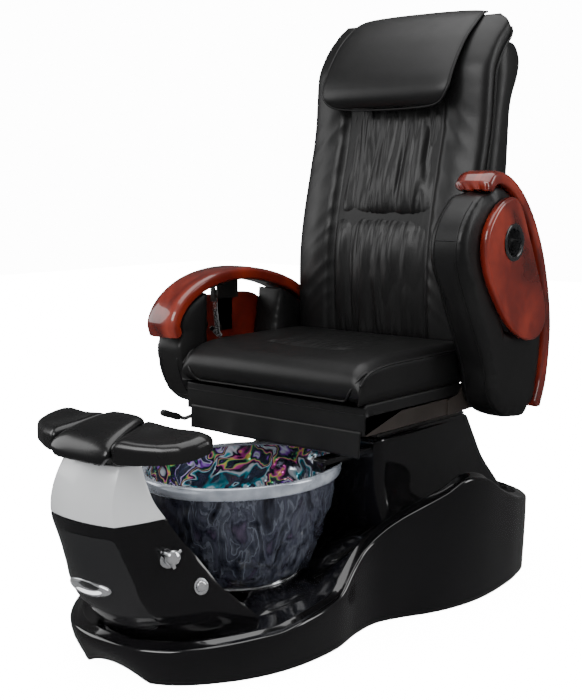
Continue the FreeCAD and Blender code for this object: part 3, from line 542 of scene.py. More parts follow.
def bowl_inside_material():
    """Lustre glaze: bright, rippled and many-coloured; its near-white streaks are painted highlights."""
    n = Nodes("bowl_lustre")
    warp = n.node("TexNoise", Scale=9.0, Detail=2.0, Distortion=1.4)
    n.link(n.place, warp.inputs["Vector"])
    mix = n.node("VectorMath", operation="MULTIPLY_ADD")
    n.link(warp.outputs["Color"], mix.inputs[0])
    mix.inputs[1].default_value = (0.10, 0.10, 0.10)
    n.link(n.place, mix.inputs[2])
    tint_and_painted_light = n.noise(7.0, 1.0, 1.8, mix.outputs["Vector"])
    # the pale stops at 0.42, 0.44 and 0.645 are painted highlights; the cyan, magenta, yellow and green stops
    # are the glaze's own colour
    n.color(n.ramp(tint_and_painted_light, [
        (0.28, (0.030, 0.038, 0.070)), (0.36, (0.012, 0.018, 0.040)), (0.40, (0.010, 0.260, 0.340)),
        (0.42, (0.560, 0.620, 0.680)), (0.44, (0.360, 0.400, 0.460)), (0.455, (0.010, 0.012, 0.030)),
        (0.485, (0.008, 0.008, 0.022)), (0.505, (0.520, 0.034, 0.320)), (0.520, (0.660, 0.460, 0.060)),
        (0.535, (0.034, 0.360, 0.140)), (0.550, (0.008, 0.010, 0.030)), (0.60, (0.014, 0.018, 0.046)),
        (0.62, (0.240, 0.060, 0.500)), (0.645, (0.520, 0.570, 0.660)), (0.67, (0.020, 0.026, 0.060)),
        (0.76, (0.040, 0.050, 0.090))]))
    n.rough(n.noise(40.0, 2.0), 0.06, 0.16)
    ripple = n.noise(20.0, 1.5, 0.8, mix.outputs["Vector"])
    n.bump([(ripple, 1.0, 0.016), (n.noise(60.0, 2.0), 0.25, 0.003)])
    n.values(Metallic=0.55, Coat_Weight=1.0, Coat_Roughness=0.03)
    return n.material


def bowl_outside_material():
    """Smoky hammered glass: a dark navy tint with lighter and darker strokes painted in as the light and
    shade of the hammered relief.
    """
    n = Nodes("bowl_glass")
    slant = n.stretched((1.0, 1.0, 0.45), (0.0, 0.5, 0.0))
    tint_and_painted_light = n.noise(17.0, 2.0, 1.6, slant)
    # dark navy is the glass tint; the lighter strokes and the faint purple stop are painted highlights, the
    # darker strokes painted shade of the hammering
    n.color(n.ramp(tint_and_painted_light, [
        (0.32, (0.0030, 0.0034, 0.0060)), (0.44, (0.0150, 0.0170, 0.0240)), (0.49, (0.0400, 0.0440, 0.0560)),
        (0.52, (0.0140, 0.0160, 0.0230)), (0.58, (0.0280, 0.0300, 0.0420)), (0.64, (0.0060, 0.0070, 0.0120)),
        (0.76, (0.0340, 0.0260, 0.0440))]))
    n.rough(n.noise(30.0, 2.0), 0.07, 0.20)
    n.bump([(n.noise(26.0, 2.0, 1.2, slant), 1.0, 0.012), (n.cells(70.0, slant), 0.35, 0.003)])
    n.values(Metallic=0.2, Coat_Weight=1.0, Coat_Roughness=0.04)
    return n.material


GLOSS = dict(Coat_Weight=1.0, Coat_Roughness=0.03, Specular_IOR_Level=0.5)
# finish: dark and light colour, cloud scale, roughness range, grain scale, grain depth, strength, rest
FINISHES = {
    "gloss_black": ((0.0012, 0.0012, 0.0014), (0.0022, 0.0021, 0.0024), 3.0, (0.10, 0.16), 14.0,
                    0.0008, 0.06, GLOSS),
    "pad_vinyl": ((0.0022, 0.0022, 0.0024), (0.0036, 0.0035, 0.0037), 4.0, (0.24, 0.30), 14.0,
                  0.0004, 0.05, dict(Coat_Weight=0.35, Coat_Roughness=0.14)),
    "gloss_charcoal": ((0.0050, 0.0052, 0.0056), (0.0070, 0.0070, 0.0074), 4.0, (0.16, 0.22), 12.0,
                       0.0008, 0.06, GLOSS),
    "silver_paint": ((0.27, 0.275, 0.28), (0.32, 0.325, 0.33), 5.0, (0.30, 0.38), 900.0,
                     0.0002, 0.15, dict(Metallic=0.25, Coat_Weight=0.6, Coat_Roughness=0.12)),
    "chrome": ((0.74, 0.75, 0.77), (0.84, 0.85, 0.87), 8.0, (0.04, 0.09), 300.0,
               0.0002, 0.05, dict(Metallic=0.92, Coat_Weight=0.5, Coat_Roughness=0.03)),
    "rim_chrome": ((0.22, 0.24, 0.28), (0.56, 0.60, 0.67), 14.0, (0.06, 0.16), 30.0,
                   0.0015, 0.25, dict(Metallic=0.70, Coat_Weight=0.6, Coat_Roughness=0.04)),
    "steel": ((0.42, 0.42, 0.42), (0.56, 0.56, 0.56), 20.0, (0.26, 0.38), 700.0,
              0.0003, 0.2, dict(Metallic=1.0)),
    "frame_paint": ((0.007, 0.0065, 0.006), (0.012, 0.011, 0.010), 12.0, (0.30, 0.42), 300.0,
                    0.0004, 0.2, dict(Coat_Weight=0.3, Coat_Roughness=0.2)),
    "rail_metal": ((0.020, 0.016, 0.014), (0.034, 0.028, 0.025), 9.0, (0.28, 0.38), 400.0,
                   0.0003, 0.15, dict(Metallic=0.55, Coat_Weight=0.3, Coat_Roughness=0.15)),
    "black_plastic": ((0.004, 0.004, 0.004), (0.008, 0.008, 0.008), 10.0, (0.38, 0.52), 900.0,
                      0.0003, 0.25, {}),
    "rubber": ((0.010, 0.010, 0.010), (0.018, 0.018, 0.018), 15.0, (0.60, 0.75), 500.0,
               0.0004, 0.3, {}),
    "grey_pipe": ((0.30, 0.30, 0.30), (0.38, 0.38, 0.38), 10.0, (0.45, 0.55), 300.0,
                  0.0004, 0.2, {}),
}
MATERIALS = {name: simple(name, *values) for name, values in FINISHES.items()}
MATERIALS["upholstery"] = leather_material()
MATERIALS["wood"] = wood_material()
MATERIALS["bowl_glass"] = bowl_outside_material()
MATERIALS["bowl_lustre"] = bowl_inside_material()

for entry in frame["record"]["subparts"]:
    data = frame["nodes"][entry["node"]].data
    data.materials.clear()
    data.materials.append(MATERIALS[entry["material_slot"]])


def piece(obj, body, slot, replaces=(), finish=None):
    """Gives a finished mesh its material (the finish, else the slot's), its body, and hides the nodes it
    stands for.
    """
    if not obj.data.materials:
        obj.data.materials.append(MATERIALS[finish or slot])
    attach(obj, body)
    if replaces:
        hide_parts(*replaces)
    return obj


def padded(obj, body, replaces=()):
    """An upholstered piece: gives it the upholstery material and its body, and hides the nodes it replaces.
    """
    piece(obj, body, "upholstery", replaces)


# ---------------------------------------------------------------- plinth, cradle
PLAN_RIGHT = [
    (0.090, -0.534), (0.155, -0.503), (0.212, -0.447), (0.262, -0.365), (0.290, -0.260),
    (0.288, -0.110), (0.264, 0.000), (0.260, 0.080), (0.281, 0.140), (0.321, 0.219), (0.348, 0.305),
    (0.359, 0.395), (0.354, 0.500), (0.338, 0.601), (0.300, 0.705), (0.205, 0.778),
]
LEDGE_SIDE = [(-0.620, 0.088), (-0.540, 0.090), (-0.360, 0.101), (-0.287, 0.102), (-0.233, 0.110),
              (-0.175, 0.115), (-0.089, 0.127), (-0.028, 0.161), (0.024, 0.194), (0.077, 0.216),
              (0.120, 0.240), (0.200, 0.277), (0.266, 0.301), (0.303, 0.318), (0.335, 0.325),
              (0.412, 0.309), (0.496, 0.263), (0.637, 0.212), (0.850, 0.196)]
LEDGE_ROUND = 0.009
LIP_INSET = 0.0315
CRADLE_INSET = 0.0312
FOOT_AXES = (0.128, 0.156)
BOWL_Y = -0.1075


def plan_ring(count):
    left = [(-x, y) for x, y in reversed(PLAN_RIGHT)]
    return resample([(0, -0.544)] + PLAN_RIGHT + [(0, 0.800)] + left, count, True)


def ledge_height(y):
    side = resample(LEDGE_SIDE, 200)
    return np.interp(y, side[:, 0], side[:, 1])


def build_plinth():
    ring = plan_ring(260)
    inward = inward_normals(ring)
    height = ledge_height(ring[:, 1])
    arch = 0.026 * np.clip(1 - (ring[:, 0] / 0.104) ** 2, 0, 1) * (ring[:, 1] < 0)
    taper = 0.022 * smooth_step(-ring[:, 1], 0.05, 0.45) + 0.006
    bottom = 0.005 + arch
    rows = []

    def ring_row(inset, z):
        pts = ring + inward * np.reshape(inset, (-1, 1))
        rows.append(np.column_stack([pts, z]))

    ring_row(taper + 0.010, bottom)
    for lean, share in ((1.0, 0.0), (1.0, 0.03), (0.86, 0.12), (0.55, 0.35), (0.22, 0.62), (0.05, 0.85)):
        ring_row(taper * lean, bottom + (height - 0.012 - bottom) * share)
    for a in np.linspace(0, math.pi / 2, 6):
        ring_row(LEDGE_ROUND * (1 - math.cos(a)), height - LEDGE_ROUND + LEDGE_ROUND * math.sin(a))
    for inset, rise in ((0.012, 0.0008), (0.018, 0.0035), (0.024, 0.0065)):
        ring_row(inset, height + rise)
    for a in np.linspace(0.2, 1.2, 5):
        ring_row(0.026 + 0.005 * math.sin(a), height + 0.0035 + 0.005 * math.cos(a))
    for fall in (0.004, 0.022):
        ring_row(LIP_INSET, height - fall)
    return piece(loft("plinth", rows), "base", "gloss_black", ["skirt_shell"])


def build_cradle():
    ring = plan_ring(220)
    start = ring + inward_normals(ring) * CRADLE_INSET
    height = ledge_height(ring[:, 1])
    angle = np.arctan2(start[:, 1] - BOWL_Y, start[:, 0])
    foot = np.column_stack([FOOT_AXES[0] * np.cos(angle), BOWL_Y + FOOT_AXES[1] * np.sin(angle)])
    back = smooth_step(ring[:, 1], -0.02, 0.30)
    tall = height - 0.004
    low = np.full(len(ring), 0.126)
    front = smooth_step(-ring[:, 1], 0.28, 0.42)
    rows = []
    for share, fall in ((0.0, 0.0), (0.03, 0.02), (0.10, 0.10), (0.20, 0.23), (0.30, 0.36), (0.335, 0.42),
                        (0.36, 0.52), (0.40, 0.70), (0.46, 0.86), (0.55, 0.95), (0.70, 0.99),
                        (0.85, 1.0), (1.0, 1.0)):
        reach = share * (1 - 0.75 * back)
        pts = start * (1 - reach)[:, None] + foot * reach[:, None]
        inner = low * (1 - back) + (tall - 0.05) * back
        z = tall * (1 - fall) + inner * fall
        flat = tall * (1 - 0.2 * fall) + low * 0.2 * fall
        z = z * (1 - front) + np.minimum(flat, tall) * front
        rows.append(np.column_stack([pts, z]))
    return piece(loft("cradle", rows, True, False, True), "base", "gloss_black", ["tub_cradle"])


# ---------------------------------------------------------------- tower
# z, y of the front, x and y of the ridge at the side, x and y of the rear corner
TOWER = [
    (0.078, -0.486, 0.150, -0.400, 0.206, -0.300), (0.110, -0.512, 0.178, -0.360, 0.212, -0.290),
    (0.165, -0.556, 0.170, -0.440, 0.192, -0.335), (0.204, -0.577, 0.150, -0.494, 0.178, -0.375),
    (0.237, -0.589, 0.130, -0.522, 0.165, -0.395), (0.277, -0.599, 0.115, -0.552, 0.149, -0.420),
    (0.315, -0.605, 0.105, -0.575, 0.138, -0.450), (0.360, -0.608, 0.099, -0.593, 0.128, -0.478),
    (0.400, -0.606, 0.095, -0.594, 0.122, -0.505), (0.440, -0.596, 0.091, -0.582, 0.110, -0.514),
    (0.482, -0.578, 0.086, -0.560, 0.098, -0.518),
]
SPLIT_Z = 0.360
SPLIT_GAP = 0.0008
DOOR_GAP = 0.001
TOWER_WALL = 0.004
DOOR = [(-0.121, 0.120), (-0.092, 0.333), (0.092, 0.333), (0.121, 0.120)]
SIDE_WAY = Vector((0.92, -0.2, 0.337))
KNOB = Vector((0.133, -0.481, 0.278))
BUTTON = Vector((0.166, -0.419, 0.2095))


def tower_ring(values):
    """Half of the tower's outline at one height, then its mirror."""
    z, front, ridge_x, ridge_y, rear_x, rear_y = values
    radius = (ridge_x ** 2 + (ridge_y - front) ** 2) / (2 * (ridge_y - front))
    reach = math.asin(min(1.0, ridge_x / radius))
    if front + radius < ridge_y:
        reach = math.pi - reach
    half = []
    for t in np.linspace(0, 1, 15):
        half.append((radius * math.sin(reach * t), front + radius * (1 - math.cos(reach * t))))
    for t in np.linspace(0, 1, 12)[1:]:
        bow = 0.004 * math.sin(math.pi * t)
        half.append((ridge_x + (rear_x - ridge_x) * t + bow, ridge_y + (rear_y - ridge_y) * t))
    for t in np.linspace(0, 1, 9)[1:-1]:
        half.append((rear_x * (1 - t), rear_y))
    left = [(-x, y) for x, y in reversed(half[1:])]
    return [(x, y, z) for x, y in half + left]


def tower_rows(low, high, count):
    table = np.array(TOWER)
    heights = np.linspace(low, high, count)
    fine = resample(table, 400)
    return [tower_ring([z] + [np.interp(z, fine[:, 0], fine[:, k]) for k in range(1, 6)]) for z in heights]


def door_cutter(gap):
    outline = [(x + math.copysign(gap, x), z + (gap if z > 0.2 else -gap)) for x, z in DOOR]
    rim = rounded_polygon(outline, [0.034, 0.014, 0.014, 0.034], 9)
    rear = np.interp(rim[:, 1], (0.10, 0.20, 0.34), (-0.385, -0.420, -0.520))
    rows = [np.column_stack([rim[:, 0], np.full(len(rim), -0.70), rim[:, 1]]),
            np.column_stack([rim[:, 0], rear, rim[:, 1]])]
    return closed_loft("cutter", rows)


def thicken(obj):
    modify(obj, "SOLIDIFY", thickness=TOWER_WALL, offset=-1.0, use_even_offset=False)
    return apply_modifiers(obj)


def build_tower():
    lower = thicken(loft("tower", tower_rows(0.080, SPLIT_Z - SPLIT_GAP, 46)))
    door = duplicate(lower, "tower_door")
    wide, narrow = door_cutter(DOOR_GAP), door_cutter(0.0)
    boolean(lower, wide)
    boolean(door, narrow, "INTERSECT")
    drop(wide, narrow)
    band = thicken(loft("silver_top", tower_rows(SPLIT_Z + SPLIT_GAP, 0.478, 18), True, False, True))
    for obj in (lower, door, band):
        modify(obj, "BEVEL", width=0.0012, segments=2, limit_method="ANGLE", angle_limit=math.radians(50))
        apply_modifiers(obj)
        sharpen(obj, 40)
    piece(lower, "base", "gloss_black", ["front_tower"])
    piece(door, "door", "gloss_charcoal", ["access_door"])
    piece(band, "base", "silver_paint", ["silver_band"])


def build_pull():
    rows = []
    for r, h in ((1.0, 0.0), (1.0, 0.0015), (0.97, 0.004), (0.90, 0.0062), (0.80, 0.0068),
                 (0.72, 0.0058), (0.62, 0.0030), (0.45, 0.0010), (0.2, 0.0)):
        row = []
        for a in circle(56):
            x, z = 0.064 * r * math.cos(a), 0.0165 * r * math.sin(a)
            lip = 0.004 * smooth_step(math.sin(a), 0.1, 0.9) * (0.4 < r < 0.95)
            y = -0.5785 + 1.35 * x * x - h - lip + 0.16 * z
            row.append((x, y, 0.215 + z))
        rows.append(row)
    return piece(closed_loft("pull", rows), "door", "chrome", ["door_pull"])


def build_controls():
    for name, at, outer, inner, stands_for in (("knob_ring", KNOB, 0.0205, 0.011, ["control_bezels"]),
                                               ("button_ring", BUTTON, 0.0185, 0.0124, ())):
        profile = [(inner, -0.004), (inner, 0.003), (inner + 0.001, 0.0042), (outer - 0.004, 0.0048),
                   (outer - 0.001, 0.0034), (outer, 0.001), (outer, -0.004)]
        piece(lathe(name, profile, at, SIDE_WAY, 56), "base", "chrome", stands_for)
    profile = [(0.0061, 0.011), (0.0125, 0.011), (0.0150, 0.0135), (0.0155, 0.019), (0.0150, 0.027),
               (0.0130, 0.0312), (0.0090, 0.0330), (0.0, 0.0335)]
    knob = lathe("tap_knob", profile, KNOB, SIDE_WAY, 56)
    across = Vector((0, 0, 1)).cross(SIDE_WAY).normalized()
    start = KNOB + SIDE_WAY * 0.023
    for turn in range(3):
        way = Matrix.Rotation(math.radians(120 * turn + 25), 3, SIDE_WAY) @ across
        line = [start + way * reach for reach in (0.008, 0.017, 0.0235)]
        arm = tube("tap_arm%d" % turn, line, 0.0034, 14, False, 6)
        boolean(knob, arm, "UNION")
        drop(arm)
    sharpen(knob, 50)
    piece(knob, "knob", "chrome", ["valve_knob"])
    profile = [(0.0, -0.013), (0.0118, -0.013), (0.0118, 0.0065), (0.0108, 0.0088), (0.0070, 0.0096),
               (0.0, 0.0092)]
    piece(lathe("button", profile, BUTTON, SIDE_WAY, 48), "button", "chrome", ["push_button"])


# ---------------------------------------------------------------- bowl
BOWL_OUTER = [(0.020, 0.1262), (0.100, 0.1262), (0.118, 0.128), (0.130, 0.136), (0.143, 0.152),
              (0.163, 0.195), (0.182, 0.255), (0.197, 0.315), (0.2065, 0.362), (0.2075, 0.383)]
STRETCH = 1.219
GLASS = 0.006


def hammered(obj, scale, depth, low, high):
    """Shallow dimples pressed into a wall between two heights."""
    co, way = coords(obj), vertex_normals(obj)
    amount = np.array([noise.noise(Vector(p * scale)) for p in co])
    mask = smooth_step(co[:, 2], low, low + 0.01) * (1 - smooth_step(co[:, 2], high - 0.012, high))
    set_coords(obj, co + way * (amount * depth * mask)[:, None])


def bowl_ring(name, profile, segments):
    """Turned about the bowl's upright axis and stretched to its oval."""
    return lathe(name, profile, (0, BOWL_Y, 0), (0, 0, 1), segments, STRETCH)


def build_bowl():
    wall = bowl_ring("bowl_outer", resample(BOWL_OUTER, 60), 180)
    hammered(wall, 30.0, 0.0075, 0.13, 0.36)
    piece(wall, "base", "bowl_glass", ["bowl"])
    inner = [(max(r - GLASS, 0.021), z + GLASS) for r, z in BOWL_OUTER[:-1]] + [(0.2015, 0.3835)]
    lining = bowl_ring("bowl_inner", resample(inner, 60), 180)
    hammered(lining, 26.0, 0.0050, 0.14, 0.375)
    piece(lining, "base", "bowl_glass", (), "bowl_lustre")
    profile = [(0.2085, 0.3605), (0.2105, 0.3605), (0.2135, 0.364), (0.2140, 0.372), (0.2140, 0.382),
               (0.2128, 0.3865), (0.2090, 0.3888), (0.2040, 0.3888), (0.2005, 0.3870), (0.1990, 0.3832),
               (0.2012, 0.3812), (0.2070, 0.3800), (0.2078, 0.370)]
    piece(bowl_ring("bowl_rim_band", profile, 160), "base", "chrome", ["bowl_rim"], "rim_chrome")
    trim = [(0.1195, 0.1275), (0.1215, 0.1262), (0.1245, 0.1262), (0.1255, 0.1285), (0.1240, 0.1315),
            (0.1210, 0.1318)]
    piece(bowl_ring("bowl_foot_trim", trim, 120), "base", "chrome")
    spout = [(-0.024, 0.3925), (-0.024, 0.3800), (-0.0275, 0.3765), (-0.0275, 0.4040), (-0.022, 0.4095),
             (0.150, 0.4095), (0.160, 0.4060), (0.160, 0.3925)]
    outline = rounded_polygon(spout, [0.002, 0.0015, 0.0015, 0.004, 0.004, 0.006, 0.002, 0.002], 5)
    body = slab("spout", outline, 0.147, 0.183, 0.003)
    piece(body, "base", "gloss_black", ["fill_spout"])


# ---------------------------------------------------------------- column
def build_column():
    levels = [(0.200, 0.236, 0.160, 0.706), (0.232, 0.228, 0.160, 0.688), (0.300, 0.205, 0.160, 0.648),
              (0.360, 0.200, 0.160, 0.614), (0.415, 0.198, 0.160, 0.582), (0.424, 0.197, 0.161, 0.577),
              (0.4285, 0.193, 0.165, 0.572), (0.430, 0.186, 0.172, 0.565)]
    fine = resample(levels, 40)
    rows = []
    for z, half, y0, y1 in fine:
        outline = rounded_polygon([(-half, y0), (half, y0), (half, y1), (-half, y1)], 0.026, 8)
        rows.append([(x, y, z) for x, y in outline])
    return piece(loft("column", rows, True, False, True), "base", "gloss_black", ["seat_column"])


# ---------------------------------------------------------------- footrest
def build_side_pad(name, node, flip):
    corners = [(0.0555, -0.462), (0.150, -0.449), (0.205, -0.438), (0.229, -0.441), (0.238, -0.462),
               (0.236, -0.495), (0.224, -0.524), (0.190, -0.551), (0.140, -0.575), (0.0885, -0.592)]
    rim = rounded_polygon(corners, [0.006, 0.01, 0.01, 0.008, 0.01, 0.01, 0.01, 0.02, 0.02, 0.008], 5)
    rim = resample(rim, 110, True)
    middle = np.array((0.145, -0.510))

    def top(x, y):
        fall = (x - 0.055) / 0.18
        rear = 0.562 - 0.014 * fall
        front = 0.538 - 0.022 * fall
        share = np.clip((y + 0.595) / 0.15, 0, 1)
        dish = -0.007 * np.exp(-((x - 0.140) / 0.050) ** 2 - ((y + 0.505) / 0.05) ** 2)
        return front + (rear - front) * share ** 0.8 + dish

    rounding = [(0.70 + 0.30 * math.sin(a), 0.018 * (1 - math.cos(a)))
                for a in np.linspace(0.15, math.pi / 2, 8)]
    rows = []
    for k, sink in [(k, 0.0) for k in (0.12, 0.3, 0.45, 0.58, 0.68)] + rounding:
        pts = middle + (rim - middle) * k
        rows.append(np.column_stack([pts, top(pts[:, 0], pts[:, 1]) - sink]))
    base = 0.500 + (rim[:, 1] + 0.590) * 0.16
    lip = 0.013 * smooth_step(rim[:, 0], 0.062, 0.110)
    edge = rows[-1][:, 2]
    low = base - lip
    heights = [edge + (low - edge) * share for share in (0.35, 0.80, 0.95, 1.0)] + [low, base]
    for inset, z in zip((0.0, 0.004, 0.012, 0.030, 0.075, 0.085), heights):
        rows.append(np.column_stack([middle + (rim - middle) * (1 - inset), z]))
    obj = closed_loft(name, rows)
    if flip:
        mirrored(obj)
    return piece(obj, "footrest", "gloss_black", [node], "pad_vinyl")


def build_centre_pad():
    spine = [(-0.459, 0.5635), (-0.480, 0.5625), (-0.510, 0.557), (-0.545, 0.548), (-0.575, 0.536),
             (-0.595, 0.521), (-0.606, 0.503), (-0.608, 0.484)]

    def half(t):
        return 0.0525 + 0.0345 * min(1.0, t * 1.22) ** 0.9 - 0.012 * smooth_step(t, 0.86, 1.0)

    def thick(t):
        return 0.036 - 0.016 * smooth_step(t, 0.5, 0.9)

    obj = swept("foot_centre", spine[::-1], 60, lambda t: half(1 - t), lambda t: thick(1 - t),
                power=7.0, front_power=3.4, corner=0.010, edge=0.010, columns=72)
    return piece(obj, "footrest", "gloss_black", ["footrest_centre"], "pad_vinyl")


def build_carrier():
    """The pads' carrier, its plate trimmed to the pads' outline."""
    plate = copy_node("footrest_carrier", "foot_carrier")
    outline = [(-0.560, 0.40), (-0.455, 0.40), (-0.455, 0.60), (-0.560, 0.60)]
    trim = slab("trim", outline, -0.150, 0.150, 0.004)
    boolean(plate, trim, "INTERSECT")
    drop(trim)
    return piece(plate, "footrest", "steel", ["footrest_carrier"])


# ---------------------------------------------------------------- gathered panels
def folds(across, along, reach, seed):
    """Long soft folds that break into small puckers at both ends, in metres of lift."""
    rows, cols = len(along), len(across)
    points = np.array([(x, 0.0, z) for z in along for x in across])
    broad = wrinkles(points, (13.0, 1.0, 2.1), seed)
    fine = wrinkles(points, (27.0, 1.0, 4.5), seed + 5.3)
    small = wrinkles(points, (62.0, 1.0, 9.0), seed + 9.1)
    end = np.minimum(along - along.min(), along.max() - along)
    tight = np.repeat(np.exp(-end / 0.022), cols)
    near = np.repeat(np.exp(-end / 0.060), cols)
    lift = broad * (1 - 0.75 * near) + 0.42 * fine * (1 - 0.3 * near)
    lift = lift + 0.55 * small * (0.08 + near) * (1 - tight)
    side = np.minimum(across - across.min(), across.max() - across)
    lift *= np.tile(1 - np.exp(-side / 0.010), rows) * np.repeat(1 - np.exp(-end / 0.007), cols)
    return lift.reshape(rows, cols) * reach


def gathered(name, grid, across, along, reach, seed, body):
    """A gathered panel: folded by a formula, then filled and relaxed as cloth pinned at its edge."""
    rows, cols = grid.shape[:2]
    obj = new_object(name, moved(grid), grid_faces(rows, cols))
    start = coords(obj) + vertex_normals(obj) * folds(across, along, reach, seed).reshape(-1, 1)
    set_coords(obj, start)
    pins = np.ones((rows, cols))
    pins[1:-1, 1:-1] = 0
    group = obj.vertex_groups.new(name="seam")
    group.add([int(k) for k in np.flatnonzero(pins)], 1.0, "REPLACE")
    settle(obj, start, PANEL_FRAMES, PANEL_CAP, quality=6, vertex_group_mass="seam",
           tension_stiffness=12, compression_stiffness=12, shear_stiffness=5,
           bending_stiffness=3.0, uniform_pressure_force=1.0)
    modify(obj, "SUBSURF", levels=1, render_levels=1)
    modify(obj, "SOLIDIFY", thickness=PANEL_THICK, offset=-1.0)
    apply_modifiers(obj)
    padded(obj, body)


def wrinkles(points, scale, seed):
    """Soft ridged creases: sharp valleys between broad swells."""
    values = []
    for p in points:
        q = Vector((p[0] * scale[0] + seed, p[1] * scale[1], p[2] * scale[2] - seed))
        values.append(abs(noise.noise(q)) * 2 - 0.5)
    return np.array(values)


# ---------------------------------------------------------------- back
BACK_FRONT = [(0.424, 0.575), (0.416, 0.640), (0.411, 0.740), (0.412, 0.842), (0.419, 0.902), (0.430, 0.962),
              (0.444, 1.022), (0.459, 1.084), (0.473, 1.143), (0.482, 1.200), (0.487, 1.269), (0.495, 1.331),
              (0.521, 1.380), (0.551, 1.417), (0.584, 1.446), (0.606, 1.464)]
BACK_HALF = 0.274
BACK_THICK = 0.052
BACK_COUNT = 190
TOP_CORNER = 0.030
TOP_EDGE = 0.050
BOTTOM_EDGE = 0.020
PANEL_HALF = 0.150
PANEL_LOW = 0.600
SEAM_Z = 0.954
PANEL_HIGH = 1.245


def panel_share(z):
    """1 at the heights of the seat back's gathered middle, 0 above and below them."""
    return smooth_step(z, 0.585, 0.605) * (1 - smooth_step(z, 1.30, 1.36))


def back_end(away):
    """Half the width and the thickness of the back, at a distance below its top."""
    return BACK_HALF - draw_in(away, TOP_CORNER), BACK_THICK * (1 - draw_in(away, TOP_EDGE, 1.0))


def build_back():
    path = resample(BACK_FRONT, BACK_COUNT)
    side = normals_2d(path)
    length = runs(path)[-1]
    front_u = np.sin(np.linspace(-math.pi / 2, math.pi / 2, 97))
    front_u = np.sign(front_u) * np.abs(front_u) ** 0.85
    edge = 1 - (1 - np.abs(front_u) ** 8.0) ** (1 / 5.0)
    rows = []
    for t, (y, z), normal in zip(np.linspace(0, 1, BACK_COUNT), path, side):
        half, far = back_end((1 - t) * length)
        near = draw_in(t * length, BOTTOM_EDGE, 0.5 * BACK_THICK)
        far -= near
        inside = float(panel_share(z))
        x = half * front_u
        out = np.abs(x)
        sink = 0.016 * inside * (1 - smooth_step(out, 0.132, 0.176))
        groove = 0.007 * inside * np.exp(-((out - PANEL_HALF) / 0.006) ** 2)
        swell = -0.004 * np.exp(-((out - 0.205) / 0.035) ** 2)
        mask = np.exp(-np.maximum(out - 0.158, 0) / 0.042) * smooth_step(out, 0.150, 0.160)
        mask *= smooth_step(z, 0.62, 0.70) * (1 - smooth_step(z, 1.18, 1.30))
        slant = np.column_stack([out, np.zeros(len(x)), z + out * 0.9])
        depth = near + edge * (far - near) + (sink + groove + swell) * min(1.0, (far - near) / BACK_THICK)
        depth += 0.0042 * mask * wrinkles(slant, (4.5, 1.0, 17.0), 3.7)
        front = np.column_stack([x, y + normal[0] * depth, z + normal[1] * depth])
        rear = at_x(0.0, [(y + normal[0] * far, z + normal[1] * far)] * 12)
        rear = np.array(rear) + np.linspace(half, -half, 14)[1:-1, None] * (1, 0, 0)
        rows.append(np.vstack([front, rear]))
    padded(closed_loft("back_pad", rows), "back", ["back_cushion"])

    def point_at(t, x, depth):
        at = np.clip(t, 0, 1) * (BACK_COUNT - 1)
        k = int(min(at, BACK_COUNT - 2))
        f = at - k
        base = path[k] * (1 - f) + path[k + 1] * f
        way = side[k] * (1 - f) + side[k + 1] * f
        return (x, base[0] + way[0] * depth, base[1] + way[1] * depth)

    for sign, word in ((-1, "right"), (1, "left")):
        line = []
        for t in np.linspace(0.01, 0.985, 90):
            half, far = back_end((1 - t) * length)
            line.append(point_at(t, sign * (half + 0.0005), far - 0.003))
        piece(tube("back_welt_" + word, line, WELT, 10, False, 150), "back", "upholstery")
        stitch = [point_at(t, sign * PANEL_HALF, 0.022) for t in np.linspace(0.03, 0.86, 60)]
        piece(tube("back_seam_" + word, stitch, 0.0016, 8, False, 110), "back", "upholstery")

    heights, shares = path[:, 1], np.linspace(0, 1, BACK_COUNT)
    low, seam, high = (np.interp(v, heights, shares) for v in (PANEL_LOW, SEAM_Z, PANEL_HIGH))
    across = np.linspace(-PANEL_HALF, PANEL_HALF, 101)
    for name, t0, t1, n, seed in (("back_panel_low", low, seam, 96, 4.2),
                                  ("back_panel_high", seam, high, 84, 8.6)):
        grid = np.zeros((n, len(across), 3))
        places = np.linspace(t0, t1, n)
        for i, t in enumerate(places):
            tuck = min(i, n - 1 - i) / (n - 1)
            ends = 0.008 * math.exp(-tuck / 0.03)
            for j, x in enumerate(across):
                bulge = 0.012 * (1 - (x / PANEL_HALF) ** 4)
                grid[i, j] = point_at(t, x, 0.018 + ends - bulge * (1 - math.exp(-tuck / 0.05)))
        gathered(name, grid, across, np.interp(places, shares, heights), 0.0125, seed, "back")


COVER_REAR = [(0.632, 1.397), (0.664, 1.400), (0.693, 1.390), (0.714, 1.360), (0.705, 1.322), (0.675, 1.272),
              (0.663, 1.235), (0.660, 1.170), (0.659, 1.080), (0.649, 0.980), (0.625, 0.870), (0.591, 0.760),
              (0.559, 0.660), (0.537, 0.570)]


def build_cover():
    inner = resample(BACK_FRONT, 200)
    front = inner + normals_2d(inner) * (BACK_THICK - 0.002)
    front = front[(front[:, 1] > 0.570) & (front[:, 1] < 1.386)]
    front = resample(front[::3], 90)
    rear = resample(COVER_REAR[::-1], 90)
    angles = np.linspace(0, math.pi, 41)
    rows = []
    for a, b in zip(front, rear):
        row = []
        for angle in angles:
            share = abs(math.sin(angle)) ** (2 / 5.5)
            y, z = a * (1 - share) + b * share
            row.append((0.270 * power_of(math.cos(angle), 2 / 8.0), y, z))
        rows.append(row)
    y, z = front[-1]
    rows.append([(0.262 * math.cos(t), y + 0.001 * k, z + 0.0005) for k, t in enumerate(angles)])
    obj = loft("back_cover_shell", rows, False)
    modify(obj, "SOLIDIFY", thickness=COVER_THICK, offset=-1.0)
    apply_modifiers(obj)
    padded(obj, "back", ["back_cover"])


PILLOW_RIM = [(0.442, 1.230), (0.434, 1.258), (0.443, 1.292), (0.463, 1.330), (0.488, 1.367), (0.516, 1.401),
              (0.550, 1.431), (0.584, 1.456), (0.612, 1.470), (0.640, 1.476)]


PILLOW_REAR = ((0, 0.04, 0.12, 0.45, 0.7, 0.97, 1.0), (0.0, 0.024, 0.042, 0.036, 0.020, 0.010, 0.0))


